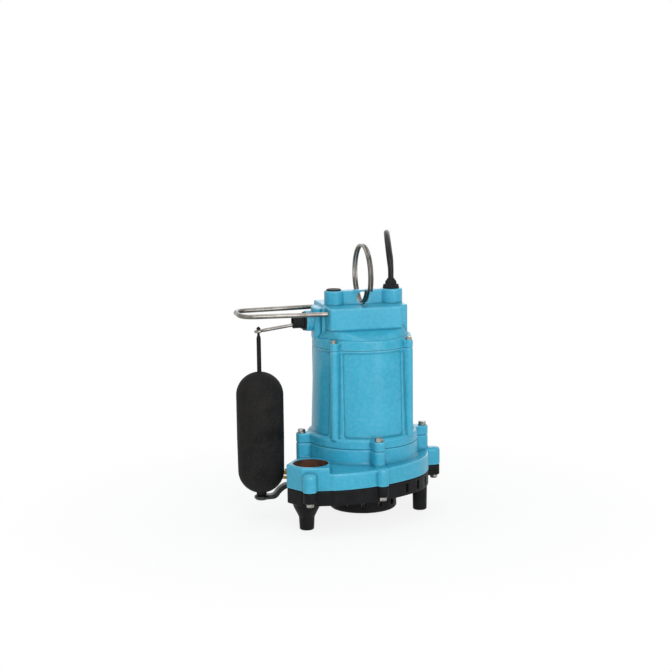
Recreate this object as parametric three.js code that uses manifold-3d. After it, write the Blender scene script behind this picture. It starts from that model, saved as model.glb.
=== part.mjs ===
// Submersible sump pump with a vertical float switch, as separate parts.
// Millimetres, +Z up along the motor shaft, the feet stand on z = 0.
// The float and its lever lie towards -X, the flat front of the top cover looks along -Y.
import * as THREE from 'three';
import { mergeVertices } from 'three/addons/utils/BufferGeometryUtils.js';
import { ConvexGeometry } from 'three/addons/geometries/ConvexGeometry.js';
import Module from 'manifold-3d';

const wasm = await Module();
wasm.setup();

const DEG = Math.PI / 180;

// Where the motor shaft stands, measured from the centre of the pump's footprint.
const shaftX = 32;
const shaftY = 4;

// Clearances.
const faceGap = 0.3; // between bolted faces, and between a head and its seat
const holeGap = 0.3; // radial, round screws, pins and pressed-in pieces
const slideGap = 0.6; // radial, round pieces that slide or turn

// Heights of the pieces, from the floor upwards.
const footHeight = 38; // floor to the lower edge of the base plate's skirt
const skirtHeight = 21;
const voluteHeight = 23;
const collarHeight = 21; // volute roof to the joint with the motor housing
const flangeThickness = 12.5;
const housingHeight = 121.5;
const earHeight = 11;
const shoulderHeight = 16; // cover's ears to the underside of its box
const boxHeight = 29.5;
const bossHeight = 19.5;

// Levels above the floor that follow from them.
const skirtBottomZ = footHeight;
const voluteBottomZ = skirtBottomZ + skirtHeight; // base plate meets volute
const roofZ = voluteBottomZ + voluteHeight; // flat roof of the volute
const flangeZ = roofZ + collarHeight; // volute meets motor housing
const flangeTopZ = flangeZ + flangeThickness;
const coverZ = flangeTopZ + housingHeight; // motor housing meets top cover
const earTopZ = coverZ + earHeight;
const boxBottomZ = earTopZ + shoulderHeight;
const boxTopZ = boxBottomZ + boxHeight;
const bossTopZ = boxTopZ + bossHeight;

// Volute, seen from above: round, then growing from growStart towards the discharge block.
const voluteRadius = 92.5;
const growStart = -55; // degrees
const growEnd = -122;
const growRate = 0.0091; // mm per degree squared
const castWall = 6.5;
const roofThickness = 6;
const rimRound = 2;

// Discharge block and its upright port.
const portX = -93;
const portY = -78;
const portRadius = 24.1;
const blockRise = 9; // discharge face above the volute roof
const blockTopZ = roofZ + blockRise;
const collarCorners = [[-34, 2], [-18, -27], [18, -35], [27, 3], [21, 26], [5, 34], [-14, 32]];
const rootCorners = [[-34, 2], [-18, -27], [26, -35], [33, 8], [33, 58], [2, 60], [-14, 32]];

// Motor housing.
const housingTopRadius = 68.5;
const housingFootRadius = 72.8;
const housingBore = 63;
const flangeRadius = 77;
const flangeScrewCircle = flangeRadius + 10;
const flangeLugRadius = 7.9;
const coverScrewCircle = housingTopRadius + 6;
const columnRadius = 5.3;
const panelDepth = 1.3;
const panelWidth = 84;
const panelBottomZ = flangeTopZ + 1.5;
const panelTopZ = coverZ - 2;
const coveHeight = 8; // where the wall meets the flange

// Screws: shank radius, head radius to the corners, head height.
const screwRadius = 2.5;
const screwHead = 5.9;
const screwHeadHeight = 5;
const coverScrewHead = 4.3;
const coverScrewHeadHeight = 4;

// Base plate, its feet and screw bosses.
const skirtWall = 3.5;
const plateThickness = 4;
const baseScrewCircle = voluteRadius + 11.5;
const baseBossRadius = 8.7;
const baseBossBottomZ = skirtBottomZ + 6;
const baseBossTopZ = roofZ + 2;
const cornerBossX = -102.5;
const cornerBossY = -111;
const cornerBossRadius = 9.5;
const footRadius = 9.8;
const footPlaces = [[-99.5, -78], [77.3, -20], [-28, 74]];
const eyeRadius = 27; // suction eye in the base plate
const slotWidth = 5;

// Inlet guard, the slotted cup under the eye.
const guardRadius = 47;
const guardBottomZ = 6;
const guardWall = 3;

// Top cover.
const boxLeft = -56;
const boxRight = 46;
const boxFront = -48;
const boxBack = 50;
const sideRight = 57;
const coverWall = 4.5;
const ribY = -4;
const ribThickness = 14;
const plugBossX = -40;
const plugBossRadius = 13.2;
const glandX = 41.3;
const glandBossRadius = 15.7;

// Switch side: lever, boot, float.
const leverY = 4;
const neckZ = boxBottomZ + 7.5;
const neckRadius = 14;
const neckEndX = -79;
const chamberLeft = -70;
const chamberRadius = housingTopRadius + 1; // its outer wall follows the round skirt
const fluteRadius = 6; // upright half-round at the chamber's front corner
const smallFluteRadius = 4;
const pivotX = -72;
const pivotZ = neckZ - 1.5;
const leverDroop = 7.6; // degrees below level with the float down
const leverReach = 72.8; // pivot to eye
const leverRadius = 2.35;
const eyeLoopRadius = 4.3;
const eyeWire = 1.9;
const hubRadius = 4.4;
const hubWidth = 7;
const fingerReach = 11; // pivot to the lever's inner end, under the micro switch
const pinRadius = 1.6;
const bushingRadius = 11;
const bootRadius = 9.5;
const bootBore = 7.9;
const bootEndX = -96.5;

// Float, its rod and its guide.
const armPadZ = skirtBottomZ + 2.2;
const guideCupBottomZ = armPadZ - 15.7;
const guideCupTopZ = guideCupBottomZ + 6.5;
const floatRadius = 32.5;
const floatLength = 170.5;
const floatBottomZ = guideCupTopZ + 3;
const floatTopZ = floatBottomZ + floatLength;
const rodRadius = 3;
const rodNeckRadius = 1.7;
const rodDepth = 40; // how far the rod reaches into the float
const guideCupRadius = 10.3;
const guidePinRadius = 3;
const guidePinTopZ = floatBottomZ + 38;
const armThickness = 6;
const armWidth = 13;
const armPadX = -(voluteRadius + 7.5);
const guideScrewLength = 15;

// Float guard, a U of steel rod.
const barRadius = 3.175;
const barZ = boxTopZ - 8.5;
const barEndX = -172.6;
const barOuterSpan = 30.5; // half the span at the bend
const barInnerSpan = 38.3; // half the span at the cover
const barBend = 22;
const barSocketDepth = 11;

// Lifting ring.
const ringRadius = 38.7;
const ringWire = 1.8;
const ringPitch = 3.9;
const ringEndAngle = 223; // degrees, where both ends of the wire lie
const ringHoleRadius = 8.4;
const ringHoleX = -0.8;
const ringHoleZ = boxTopZ + 8.6;
const ringCentreX = 0.7;
const ringCentreZ = ringHoleZ - 5.81 + ringRadius; // the wire lies on the foot of its hole

// Shaft line.
const shaftRadius = 8.5;
const shaftTopRadius = 6;
const shaftTipRadius = 6.35;
const rotorRadius = 29.6;
const airGap = 0.4;
const coreLength = 55.5;
const coreBottomZ = flangeTopZ + 24;
const coreTopZ = coreBottomZ + coreLength;
const coreRadius = housingBore - holeGap;
const windingHeight = 16;
const lowerBearingRadius = 20;
const lowerBearingZ = flangeZ - 2;
const lowerBearingHeight = 12;
const upperBearingRadius = 16;
const upperBearingZ = coverZ - 23;
const upperBearingHeight = 10;
const hubOuter = 26;
const sealRadius = 15;
const sealRotorRadius = 13;
const impellerRadius = 52;
const impellerTopZ = roofZ - 9;
const vaneCount = 5;
const vaneDepth = 9;
const impellerHub = 13;
const capacitorRadius = 15;
const capacitorLength = 62;
const capacitorY = 22;

// Cord and plug.
const cordRadius = 4;
const glandHeight = 13.5;
const glandBaseRadius = 11.4;
const glandTipRadius = 6.6;
const fittingStem = 8; // radius of the stems that the oil plug and the gland have in their bosses
const glandTopZ = bossTopZ + glandHeight;
const cordSeatDepth = 8; // how far the cord reaches into the gland
const archHeight = 45;
const archSpan = 105;
const footBend = 36; // radius of the bend where the cord meets the floor
const coilX = 62;
const coilY = 179.5;
const coilOuter = 62;
const coilPitch = 9;
const coilTurns = 6;
const plugLength = 42;

// Shape helpers.

function signedVolume(position, index) {
  let volume = 0;
  const a = new THREE.Vector3();
  const b = new THREE.Vector3();
  const c = new THREE.Vector3();
  for (let i = 0; i < index.length; i += 3) {
    a.fromArray(position, index[i] * 3);
    b.fromArray(position, index[i + 1] * 3);
    c.fromArray(position, index[i + 2] * 3);
    volume += a.dot(b.cross(c));
  }
  return volume;
}

// A closed three.js geometry as a solid that can be joined and cut.
function toSolid(shape) {
  if (!(shape instanceof THREE.BufferGeometry)) return shape;
  const bare = new THREE.BufferGeometry();
  bare.setAttribute('position', shape.getAttribute('position').clone());
  if (shape.index) bare.setIndex(shape.index.clone());
  const merged = mergeVertices(bare, 1e-3);
  const position = merged.getAttribute('position').array;
  const index = [];
  for (let i = 0; i < merged.index.count; i += 3) {
    const [a, b, c] = [0, 1, 2].map((k) => merged.index.getX(i + k));
    if (a !== b && b !== c && c !== a) index.push(a, b, c);
  }
  if (signedVolume(position, index) < 0) index.reverse();
  return new wasm.Manifold(new wasm.Mesh({
    numProp: 3, vertProperties: new Float32Array(position), triVerts: new Uint32Array(index),
  }));
}

const join = (...shapes) => shapes.map(toSolid).reduce((a, b) => a.add(b));
const cut = (shape, ...tools) => tools.map(toSolid).reduce((a, b) => a.subtract(b), toSolid(shape));

// Joined and cut solids lose the leftover edges inside their flat faces.
function toGeometry(shape) {
  const plain = shape instanceof THREE.BufferGeometry;
  const mesh = (plain ? toSolid(shape) : shape.simplify(0.005)).getMesh();
  const geometry = new THREE.BufferGeometry();
  geometry.setAttribute('position', new THREE.BufferAttribute(new Float32Array(mesh.vertProperties), 3));
  geometry.setIndex(new THREE.BufferAttribute(new Uint32Array(mesh.triVerts), 1));
  return geometry;
}

// Upright cylinder from z0 to z1.
const rod = (radius, z0, z1, x = 0, y = 0, sides = 20) => new THREE.CylinderGeometry(radius, radius, z1 - z0, sides)
  .rotateX(Math.PI / 2).translate(x, y, (z0 + z1) / 2);
// Cylinder along X from x0 to x1.
const rodX = (radius, x0, x1, y, z, sides = 20) => new THREE.CylinderGeometry(radius, radius, x1 - x0, sides)
  .rotateZ(Math.PI / 2).translate((x0 + x1) / 2, y, z);
// Cylinder along Y from y0 to y1.
const rodY = (radius, y0, y1, x, z, sides = 20) =>
  new THREE.CylinderGeometry(radius, radius, y1 - y0, sides).translate(x, (y0 + y1) / 2, z);
const box = (x0, x1, y0, y1, z0, z1) =>
  new THREE.BoxGeometry(x1 - x0, y1 - y0, z1 - z0).translate((x0 + x1) / 2, (y0 + y1) / 2, (z0 + z1) / 2);
// Solid of revolution about the shaft from a closed profile of [radius, z].
const turned = (profile, sides = 40) =>
  new THREE.LatheGeometry(profile.map(([r, z]) => new THREE.Vector2(r, z)), sides).rotateX(Math.PI / 2);
const ring = (inner, outer, z0, z1, sides = 40) =>
  turned([[inner, z0], [outer, z0], [outer, z1], [inner, z1], [inner, z0]], sides);
const outlineShape = (points) => new THREE.Shape(points.map(([x, y]) => new THREE.Vector2(x, y)));
const extrudeTo = (points, depth) =>
  new THREE.ExtrudeGeometry(outlineShape(points), { depth, bevelEnabled: false });
const prism = (points, z0, z1) => extrudeTo(points, z1 - z0).translate(0, 0, z0);
// Prism whose top and bottom edges are rounded over.
const softPrism = (points, z0, z1, round, segments = 2) =>
  new THREE.ExtrudeGeometry(outlineShape(points), {
    depth: z1 - z0 - 2 * round, bevelEnabled: true, bevelSegments: segments,
    bevelThickness: round, bevelSize: round, bevelOffset: -round,
  }).translate(0, 0, z0 + round);

function arc(cx, cy, radius, from, to, steps) {
  const points = [];
  for (let i = 0; i <= steps; i += 1) {
    const a = (from + ((to - from) * i) / steps) * DEG;
    points.push([cx + radius * Math.cos(a), cy + radius * Math.sin(a)]);
  }
  return points;
}

const roundedRect = (x0, x1, y0, y1, r, steps = 2) => [
  ...arc(x1 - r, y0 + r, r, -90, 0, steps), ...arc(x1 - r, y1 - r, r, 0, 90, steps),
  ...arc(x0 + r, y1 - r, r, 90, 180, steps), ...arc(x0 + r, y0 + r, r, 180, 270, steps),
];

// Outline of a screw lug: round end at the screw circle, straight sides back to the inner radius.
function lugOutline(angle, inner, circle, radius, steps = 5) {
  const points = [[inner, -radius], ...arc(circle, 0, radius, -90, 90, steps), [inner, radius]];
  const c = Math.cos(angle * DEG);
  const s = Math.sin(angle * DEG);
  return points.map(([x, y]) => [x * c - y * s, x * s + y * c]);
}

const onCircle = (radius, angle) => [radius * Math.cos(angle * DEG), radius * Math.sin(angle * DEG)];
const aboutShaft = (geometry, angle) => geometry.clone().rotateZ(angle * DEG);

// Moves every edge of a convex outline inwards.
function insetOutline(points, distance) {
  const area = points.reduce((sum, p, i) => {
    const q = points[(i + 1) % points.length];
    return sum + p[0] * q[1] - q[0] * p[1];
  }, 0);
  const edges = points.map((p, i) => {
    const q = points[(i + 1) % points.length];
    const d = new THREE.Vector2(q[0] - p[0], q[1] - p[1]).normalize();
    const n = new THREE.Vector2(-d.y, d.x).multiplyScalar(Math.sign(area) * distance);
    return { x: p[0] + n.x, y: p[1] + n.y, d };
  });
  return edges.map((e, i) => {
    const f = edges[(i + edges.length - 1) % edges.length];
    const t = ((e.x - f.x) * e.d.y - (e.y - f.y) * e.d.x) / (f.d.x * e.d.y - f.d.y * e.d.x);
    return [f.x + f.d.x * t, f.y + f.d.y * t];
  });
}

function voluteOutline(inset = 0) {
  const points = [];
  for (let a = growEnd; a < growEnd + 360; a += 10) {
    const t = Math.max(0, growStart - a);
    points.push(onCircle(voluteRadius + growRate * t * t - inset, a));
  }
  return points;
}

const atPort = (corners) => corners.map(([x, y]) => [portX + x, portY + y]);

// Round tube along a curve.
function tube(curve, radius, steps, sides = 8) {
  const section = outlineShape(arc(0, 0, radius, 0, 360 - 360 / sides, sides - 1));
  return new THREE.ExtrudeGeometry(section, { steps, bevelEnabled: false, extrudePath: curve });
}

// Hex screw with its seat at z: the shank goes down, or up with up = true.
function screw(x, y, z, shankLength, headRadius, headHeight, up = false) {
  const seat = z + faceGap;
  const geometry = toGeometry(join(
    new THREE.CylinderGeometry(headRadius, headRadius, headHeight, 6).rotateX(Math.PI / 2)
      .translate(0, 0, seat + headHeight / 2),
    rod(screwRadius, z - shankLength, seat + 1, 0, 0, 8),
  )).translate(0, 0, -z);
  if (up) geometry.rotateX(Math.PI);
  return geometry.translate(x, y, z);
}

// The group that holds every piece, and its colours.

const pump = new THREE.Group();

function add(name, shape, color, roughness = 0.5, metalness = 0) {
  const material = new THREE.MeshStandardMaterial({ color, roughness, metalness });
  const mesh = new THREE.Mesh(toGeometry(shape), material);
  mesh.name = name;
  mesh.position.set(shaftX, shaftY, 0);
  pump.add(mesh);
}

const blue = 0x3fa9cb;
const black = 0x1c1c1e;
const rubber = 0x2b2c2e;
const steel = 0xb9b8b2;
const darkSteel = 0x7d7b76;
const copper = 0xa8622e;
const brass = 0xc9b68a;
const aluminium = 0x8d9094;
const ceramic = 0xd9d4c8;
const darkPlastic = 0x35383c;

const quarter = [0, 90, 180, 270];
const diagonal = [45, 135, 225, 315];
const baseScrewAngles = [0, 90, 270];
const baseScrewPlaces = [
  ...baseScrewAngles.map((a) => onCircle(baseScrewCircle, a)), [cornerBossX, cornerBossY],
];
const screwHole = screwRadius + holeGap;
const leverLine = new THREE.Vector3(-Math.cos(leverDroop * DEG), 0, -Math.sin(leverDroop * DEG));
const eyeX = pivotX + leverReach * leverLine.x;
const eyeZ = pivotZ + leverReach * leverLine.z;

// Volute casing: spiral body, discharge block with upright port, lugs, hub for the seal and lower bearing.

const ceilingZ = roofZ - roofThickness;
const blockOutline = atPort(rootCorners);
const collarOutline = atPort(collarCorners);

const voluteCasing = cut(
  join(
    prism(voluteOutline(), voluteBottomZ, roofZ - 4),
    softPrism(voluteOutline(), voluteBottomZ + 6, roofZ, rimRound, 1),
    prism(blockOutline, voluteBottomZ, roofZ - 4),
    softPrism(blockOutline, voluteBottomZ + 6, roofZ, rimRound, 1),
    softPrism(collarOutline, voluteBottomZ + 6, blockTopZ, rimRound, 1),
    ring(housingBore + 3, flangeRadius, roofZ - 1, flangeZ, 32),
    rod(hubOuter, roofZ - 1, lowerBearingZ + lowerBearingHeight, 0, 0, 24),
    ...quarter.map((a) => prism(lugOutline(a, housingBore + 6, flangeScrewCircle, flangeLugRadius),
      voluteBottomZ, flangeZ)),
    ...baseScrewAngles.map((a) => prism(lugOutline(a, voluteRadius - 4, baseScrewCircle, baseBossRadius),
      voluteBottomZ, voluteBottomZ + 12)),
    ...baseScrewAngles.map((a) => softPrism(lugOutline(a, voluteRadius - 4, baseScrewCircle, baseBossRadius),
      voluteBottomZ + 6, baseBossTopZ, 4, 1)),
    rod(cornerBossRadius, voluteBottomZ, voluteBottomZ + 12, cornerBossX, cornerBossY),
    softPrism(arc(cornerBossX, cornerBossY, cornerBossRadius, 0, 337.5, 15),
      voluteBottomZ + 6, baseBossTopZ + 0.6, 5, 1),
  ),
  prism(voluteOutline(castWall), voluteBottomZ - 1, ceilingZ),
  prism(insetOutline(blockOutline, castWall - 1), voluteBottomZ - 1, ceilingZ),
  rod(portRadius, ceilingZ - 2, blockTopZ + 1, portX, portY, 30),
  rod(lowerBearingRadius + holeGap, lowerBearingZ, flangeZ + 20, 0, 0, 24),
  rod(sealRadius + holeGap, ceilingZ - 1, lowerBearingZ - 2, 0, 0, 18),
  rod(sealRadius - 3, lowerBearingZ - 3, lowerBearingZ + 1, 0, 0, 18),
  ...quarter.map((a) => rod(screwHole, flangeZ - 16, flangeZ + 1, ...onCircle(flangeScrewCircle, a), 8)),
  ...baseScrewPlaces.map(([x, y]) => rod(screwHole, voluteBottomZ - 1, voluteBottomZ + 14, x, y, 8)),
);
add('volute_casing', voluteCasing, blue, 0.45, 0.1);

// Motor housing: tapered, with a sunk panel on each side and four screw columns.

const bodyProfile = (inset, z0, z1) => {
  const taper = (housingTopRadius - housingFootRadius) / (coverZ - flangeTopZ);
  const at = (z) => housingFootRadius + taper * (z - flangeTopZ) - inset;
  return [[0, z0], [at(z0), z0], [at(z1), z1], [0, z1]];
};
const housingBottomZ = flangeZ + faceGap;
const panelPrism = extrudeTo(roundedRect(-panelWidth / 2, panelWidth / 2, panelBottomZ, panelTopZ, 7, 2), 60)
  .rotateX(Math.PI / 2).translate(0, -40, 0);
const panelFloor = turned(bodyProfile(panelDepth, panelBottomZ - 10, panelTopZ + 10), 44);
const panelTool = toGeometry(cut(panelPrism, panelFloor));

const motorHousing = cut(
  join(
    cut(
      join(
        turned(bodyProfile(0, flangeTopZ - 6, coverZ), 44),
        turned([[0, housingBottomZ], [flangeRadius, housingBottomZ], [flangeRadius, flangeTopZ - 1],
          [flangeRadius - 1, flangeTopZ], [housingFootRadius + 1.2, flangeTopZ + 2],
          [housingFootRadius - 0.5, flangeTopZ + coveHeight], [0, flangeTopZ + coveHeight]], 32),
      ),
      ...quarter.map((a) => aboutShaft(panelTool, a)),
    ),
    ...quarter.map((a) => prism(lugOutline(a, housingBore + 6, flangeScrewCircle, flangeLugRadius),
      housingBottomZ, flangeTopZ + 1)),
    ...diagonal.map((a) => prism(lugOutline(a, housingBore + 1, coverScrewCircle, columnRadius),
      flangeTopZ - 1, coverZ)),
  ),
  rod(housingBore, housingBottomZ - 1, coverZ + 1, 0, 0, 32),
  ...quarter.map((a) => rod(screwHole, housingBottomZ - 1, flangeTopZ + 3, ...onCircle(flangeScrewCircle, a), 8)),
  ...diagonal.map((a) => rod(screwHole, coverZ - 22, coverZ + 1, ...onCircle(coverScrewCircle, a), 8)),
);
add('motor_housing', motorHousing, blue, 0.45, 0.1);

// Top cover: round skirt that grows into a box, rib with two bosses, neck for the switch.

const coverBottomZ = coverZ + faceGap;
const skirtTop = arc(0, 0, housingTopRadius - 0.5, 0, 350, 35)
  .map(([x, y]) => new THREE.Vector3(x, y, earTopZ + 2));
const boxFoot = roundedRect(boxLeft + 3, boxRight + 2, boxFront + 3, boxBack - 3, 3, 2)
  .map(([x, y]) => new THREE.Vector3(x, y, boxBottomZ + 1));
const neckX = chamberLeft + 6;
const chamberOutline = [
  ...arc(0, 0, chamberRadius, 157.5, 187.5, 7.5), [boxLeft + 8, leverY - 13], [boxLeft + 8, leverY + 22],
];
const barSockets = [-1, 1].map((side) => ({
  y: leverY + side * barInnerSpan,
  lean: Math.atan2(side * (barInnerSpan - barOuterSpan), boxLeft - barEndX - barBend),
}));
const socketRadius = barRadius + holeGap;
const socketCut = ({ y, lean }) => new THREE.CylinderGeometry(socketRadius, socketRadius, barSocketDepth * 2, 12)
  .rotateZ(Math.PI / 2 + lean).translate(boxLeft, y, barZ);

const topCover = cut(
  join(
    turned([[0, coverBottomZ], [housingTopRadius + 0.3, coverBottomZ], [housingTopRadius - 0.3, earTopZ + 2.2],
      [0, earTopZ + 2.2]], 36),
    new ConvexGeometry([...skirtTop, ...boxFoot]),
    softPrism(roundedRect(boxLeft, boxRight, boxFront, boxBack, 4), boxBottomZ, boxTopZ, 1.2, 1),
    softPrism(roundedRect(boxRight - 12, sideRight, boxFront + 14, boxBack - 4, 4), earTopZ, boxTopZ, 1.2, 1),
    softPrism(chamberOutline, earTopZ, boxTopZ - 3, 1.2, 1),
    rod(fluteRadius, earTopZ, boxTopZ - 3.5, boxLeft - 7, leverY - 11, 12),
    rod(smallFluteRadius, earTopZ, boxTopZ - 1.5, boxLeft - 1, leverY - 23, 12),
    rodX(neckRadius, neckEndX, neckX, leverY, neckZ, 24),
    ...diagonal.map((a) => prism(lugOutline(a, 56, coverScrewCircle, columnRadius), coverBottomZ, earTopZ)),
    box(plugBossX, glandX, ribY - ribThickness / 2, ribY + ribThickness / 2, boxTopZ - 2, bossTopZ - 0.6),
    softPrism(arc(plugBossX, ribY, plugBossRadius, 0, 342, 19), boxTopZ - 4, bossTopZ, 0.8, 1),
    softPrism(arc(glandX, ribY, glandBossRadius, 0, 342, 19), boxTopZ - 4, bossTopZ, 0.8, 1),
  ),
  turned([[0, coverBottomZ - 1], [housingBore - 3, coverBottomZ - 1], [housingBore - 3, earTopZ - 2],
    [housingBore - 25, boxBottomZ - 4], [0, boxBottomZ - 4]], 28),
  cut(
    box(boxLeft + coverWall, boxRight - coverWall, boxFront + coverWall, boxBack - coverWall,
      boxBottomZ - 6, boxTopZ - coverWall),
    ...barSockets.map(({ y }) => box(boxLeft, boxLeft + barSocketDepth + 3, y - 6.5, y + 6.5, barZ - 7, boxTopZ)),
  ),
  box(chamberLeft + coverWall, boxLeft + 10, leverY - 9, leverY + 12, coverBottomZ + 10, boxTopZ - 7),
  rodX(bushingRadius + holeGap, neckEndX - 1, chamberLeft + coverWall + 1, leverY, neckZ, 20),
  rodY(ringHoleRadius, ribY - ribThickness, ribY + ribThickness, ringHoleX, ringHoleZ, 24),
  rod(fittingStem + holeGap, boxTopZ - 8, bossTopZ + 1, plugBossX, ribY, 16),
  rod(fittingStem + holeGap, boxTopZ - 8, bossTopZ + 1, glandX, ribY, 16),
  ...barSockets.map(socketCut),
  ...diagonal.map((a) => rod(screwHole, coverBottomZ - 1, earTopZ + 20, ...onCircle(coverScrewCircle, a), 8)),
  ...diagonal.map((a) => rod(coverScrewHead + 1, earTopZ, earTopZ + 8, ...onCircle(coverScrewCircle, a), 14)),
);
add('top_cover', topCover, blue, 0.45, 0.1);

// Base plate: skirt with strainer slots, suction eye, three feet and screw bosses.

const plateTopZ = voluteBottomZ - faceGap;
const plateBottomZ = plateTopZ - plateThickness;
const rootOutline = insetOutline(blockOutline, 0.6);
const skirtOutlines = [voluteOutline(0.6), rootOutline];
const skirtBody = join(...skirtOutlines.map((o) => prism(o, skirtBottomZ, plateTopZ)));
const footTopRadius = footRadius + 0.9;
const feet = footPlaces.map(([x, y], i) => {
  const funnel = [[footTopRadius, footHeight - 20], [footTopRadius + 6.5, footHeight - 7],
    [footTopRadius + 9, footHeight], [footTopRadius + 9, plateTopZ - 1]];
  const upper = i === 0 ? funnel : [[footTopRadius, plateTopZ - 1]];
  return turned([[0, 0], [footRadius - 0.6, 0], [footRadius, 0.8], ...upper, [0, plateTopZ - 1]], 16)
    .translate(x, y, 0);
});
const slotAngles = [];
for (let a = -64; a <= 160; a += 15) {
  const nearScrew = baseScrewAngles.some((s) => Math.abs(((a - s + 540) % 360) - 180) < 7);
  if (!nearScrew) slotAngles.push(a);
}
const ribAngles = [-40, 30, 65, 130, 195];

const basePlate = cut(
  join(
    cut(
      skirtBody,
      prism(voluteOutline(0.6 + skirtWall), skirtBottomZ - 1, plateBottomZ),
      prism(insetOutline(rootOutline, skirtWall), skirtBottomZ - 1, plateBottomZ),
      ...slotAngles.map((a) => aboutShaft(box(voluteRadius - 12, voluteRadius + 4, -slotWidth / 2, slotWidth / 2,
        skirtBottomZ + 4, plateBottomZ), a)),
    ),
    ...baseScrewAngles.map((a) => prism(lugOutline(a, voluteRadius - 6, baseScrewCircle, baseBossRadius - 0.4),
      baseBossBottomZ, plateTopZ)),
    rod(cornerBossRadius - 0.4, baseBossBottomZ, plateTopZ, cornerBossX, cornerBossY),
    ...feet,
    ring(guardRadius + 0.4, guardRadius + 3.4, plateBottomZ - 9, plateBottomZ + 1, 32),
    ...ribAngles.map((a) => aboutShaft(box(guardRadius + 2, voluteRadius - 2, -1.5, 1.5,
      plateBottomZ - 9, plateBottomZ + 1), a)),
    box(armPadX - 7, -voluteRadius + 4, leverY - 8, leverY + 8, armPadZ + armThickness + faceGap, plateTopZ),
  ),
  rod(eyeRadius, plateBottomZ - 12, plateTopZ + 1, 0, 0, 28),
  ...baseScrewPlaces.map(([x, y]) => rod(screwHole, skirtBottomZ - 1, plateTopZ + 1, x, y, 8)),
  ...baseScrewPlaces.map(([x, y]) => rod(screwHead + 1.4, skirtBottomZ - 6, baseBossBottomZ, x, y, 12)),
  rod(screwHole, armPadZ, armPadZ + guideScrewLength + 1.5, armPadX, leverY, 12),
);
add('base_plate', basePlate, black, 0.55);

// Inlet guard: slotted cup under the suction eye.

const guardTopZ = plateBottomZ - faceGap;
const guardFloorZ = guardBottomZ + guardWall;
const guardInner = guardRadius - guardWall;
const guardSlots = [];
for (let i = 0; i < 12; i += 1) {
  const slot = box(guardInner - 4, guardRadius + 2, -3, 3, guardBottomZ + 8, plateBottomZ - 12);
  guardSlots.push(aboutShaft(slot, 15 + i * 30));
}
const inletGuard = cut(
  turned([[0, guardBottomZ], [guardRadius - 2, guardBottomZ], [guardRadius, guardBottomZ + 2],
    [guardRadius, guardTopZ], [guardInner, guardTopZ], [guardInner, guardFloorZ], [0, guardFloorZ]], 30),
  ...guardSlots,
);
add('inlet_guard', inletGuard, black, 0.55);

// Screws of the cover, the flange and the base.

diagonal.forEach((a, i) => add(`cover_screw_${i + 1}`,
  screw(...onCircle(coverScrewCircle, a), earTopZ, 28, coverScrewHead, coverScrewHeadHeight), steel, 0.3, 0.9));
quarter.forEach((a, i) => add(`flange_screw_${i + 1}`,
  screw(...onCircle(flangeScrewCircle, a), flangeTopZ + 1, 27, screwHead, screwHeadHeight), steel, 0.3, 0.9));
baseScrewPlaces.forEach(([x, y], i) => add(`base_screw_${i + 1}`,
  screw(x, y, baseBossBottomZ, 28, screwHead, screwHeadHeight, true), steel, 0.3, 0.9));

// Fittings on the cover.

const plugHead = 10.2;
const plugTopZ = bossTopZ + 2;
add('oil_fill_plug', join(
  turned([[0, bossTopZ + faceGap], [plugHead, bossTopZ + faceGap], [plugHead, plugTopZ - 0.6],
    [plugHead - 0.6, plugTopZ], [0, plugTopZ]], 20),
  rod(fittingStem, boxTopZ - 6, bossTopZ + 1, 0, 0, 12),
).translate([plugBossX, ribY, 0]), black, 0.5);

add('cord_gland', cut(
  join(
    turned([[0, bossTopZ + faceGap], [glandBaseRadius, bossTopZ + faceGap], [glandBaseRadius, bossTopZ + 3.6],
      [glandBaseRadius - 1.2, bossTopZ + 5], [glandBaseRadius - 1.6, bossTopZ + 6.4],
      [glandTipRadius + 1, bossTopZ + 8.4], [glandTipRadius, glandTopZ], [0, glandTopZ]], 20),
    rod(fittingStem, boxTopZ - 4, bossTopZ + 1, 0, 0, 12),
  ),
  rod(cordRadius + holeGap, glandTopZ - cordSeatDepth - faceGap, glandTopZ + 1, 0, 0, 14),
).translate([glandX, ribY, 0]), rubber, 0.7);

// Float guard: two legs that spread slightly towards the cover, and a round-cornered end.
const guardPath = new THREE.CurvePath();
const legEnd = (side) => new THREE.Vector3(barEndX + barBend, leverY + side * barOuterSpan, barZ);
const legStart = (side) => {
  const end = legEnd(side);
  const mouth = new THREE.Vector3(boxLeft, leverY + side * barInnerSpan, barZ);
  return mouth.clone().add(mouth.clone().sub(end).setLength(barSocketDepth - 0.5));
};
const corner = (side) => [legEnd(side), new THREE.Vector3(barEndX, leverY + side * barOuterSpan, barZ),
  new THREE.Vector3(barEndX, leverY + side * (barOuterSpan - barBend), barZ)];
guardPath.add(new THREE.LineCurve3(legStart(-1), legEnd(-1)));
guardPath.add(new THREE.QuadraticBezierCurve3(...corner(-1)));
guardPath.add(new THREE.LineCurve3(corner(-1)[2], corner(1)[2]));
guardPath.add(new THREE.QuadraticBezierCurve3(...corner(1).reverse()));
guardPath.add(new THREE.LineCurve3(legEnd(1), legStart(1)));
add('float_guard', toSolid(tube(guardPath, barRadius, 48, 10)), steel, 0.25, 0.9);

// Lifting ring: two full turns of wire, both ends at the same place.
class RingCurve extends THREE.Curve {
  getPoint(t, target = new THREE.Vector3()) {
    const a = (ringEndAngle + t * 716) * DEG;
    const x = ringCentreX + ringPitch * (2 * t - 1);
    return target.set(x, ribY + ringRadius * Math.cos(a), ringCentreZ + ringRadius * Math.sin(a));
  }
}
add('lifting_ring', tube(new RingCurve(), ringWire, 48, 6), steel, 0.3, 0.9);

// Switch: bushing and boot on the neck, lever on its pin, micro switch.

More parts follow.
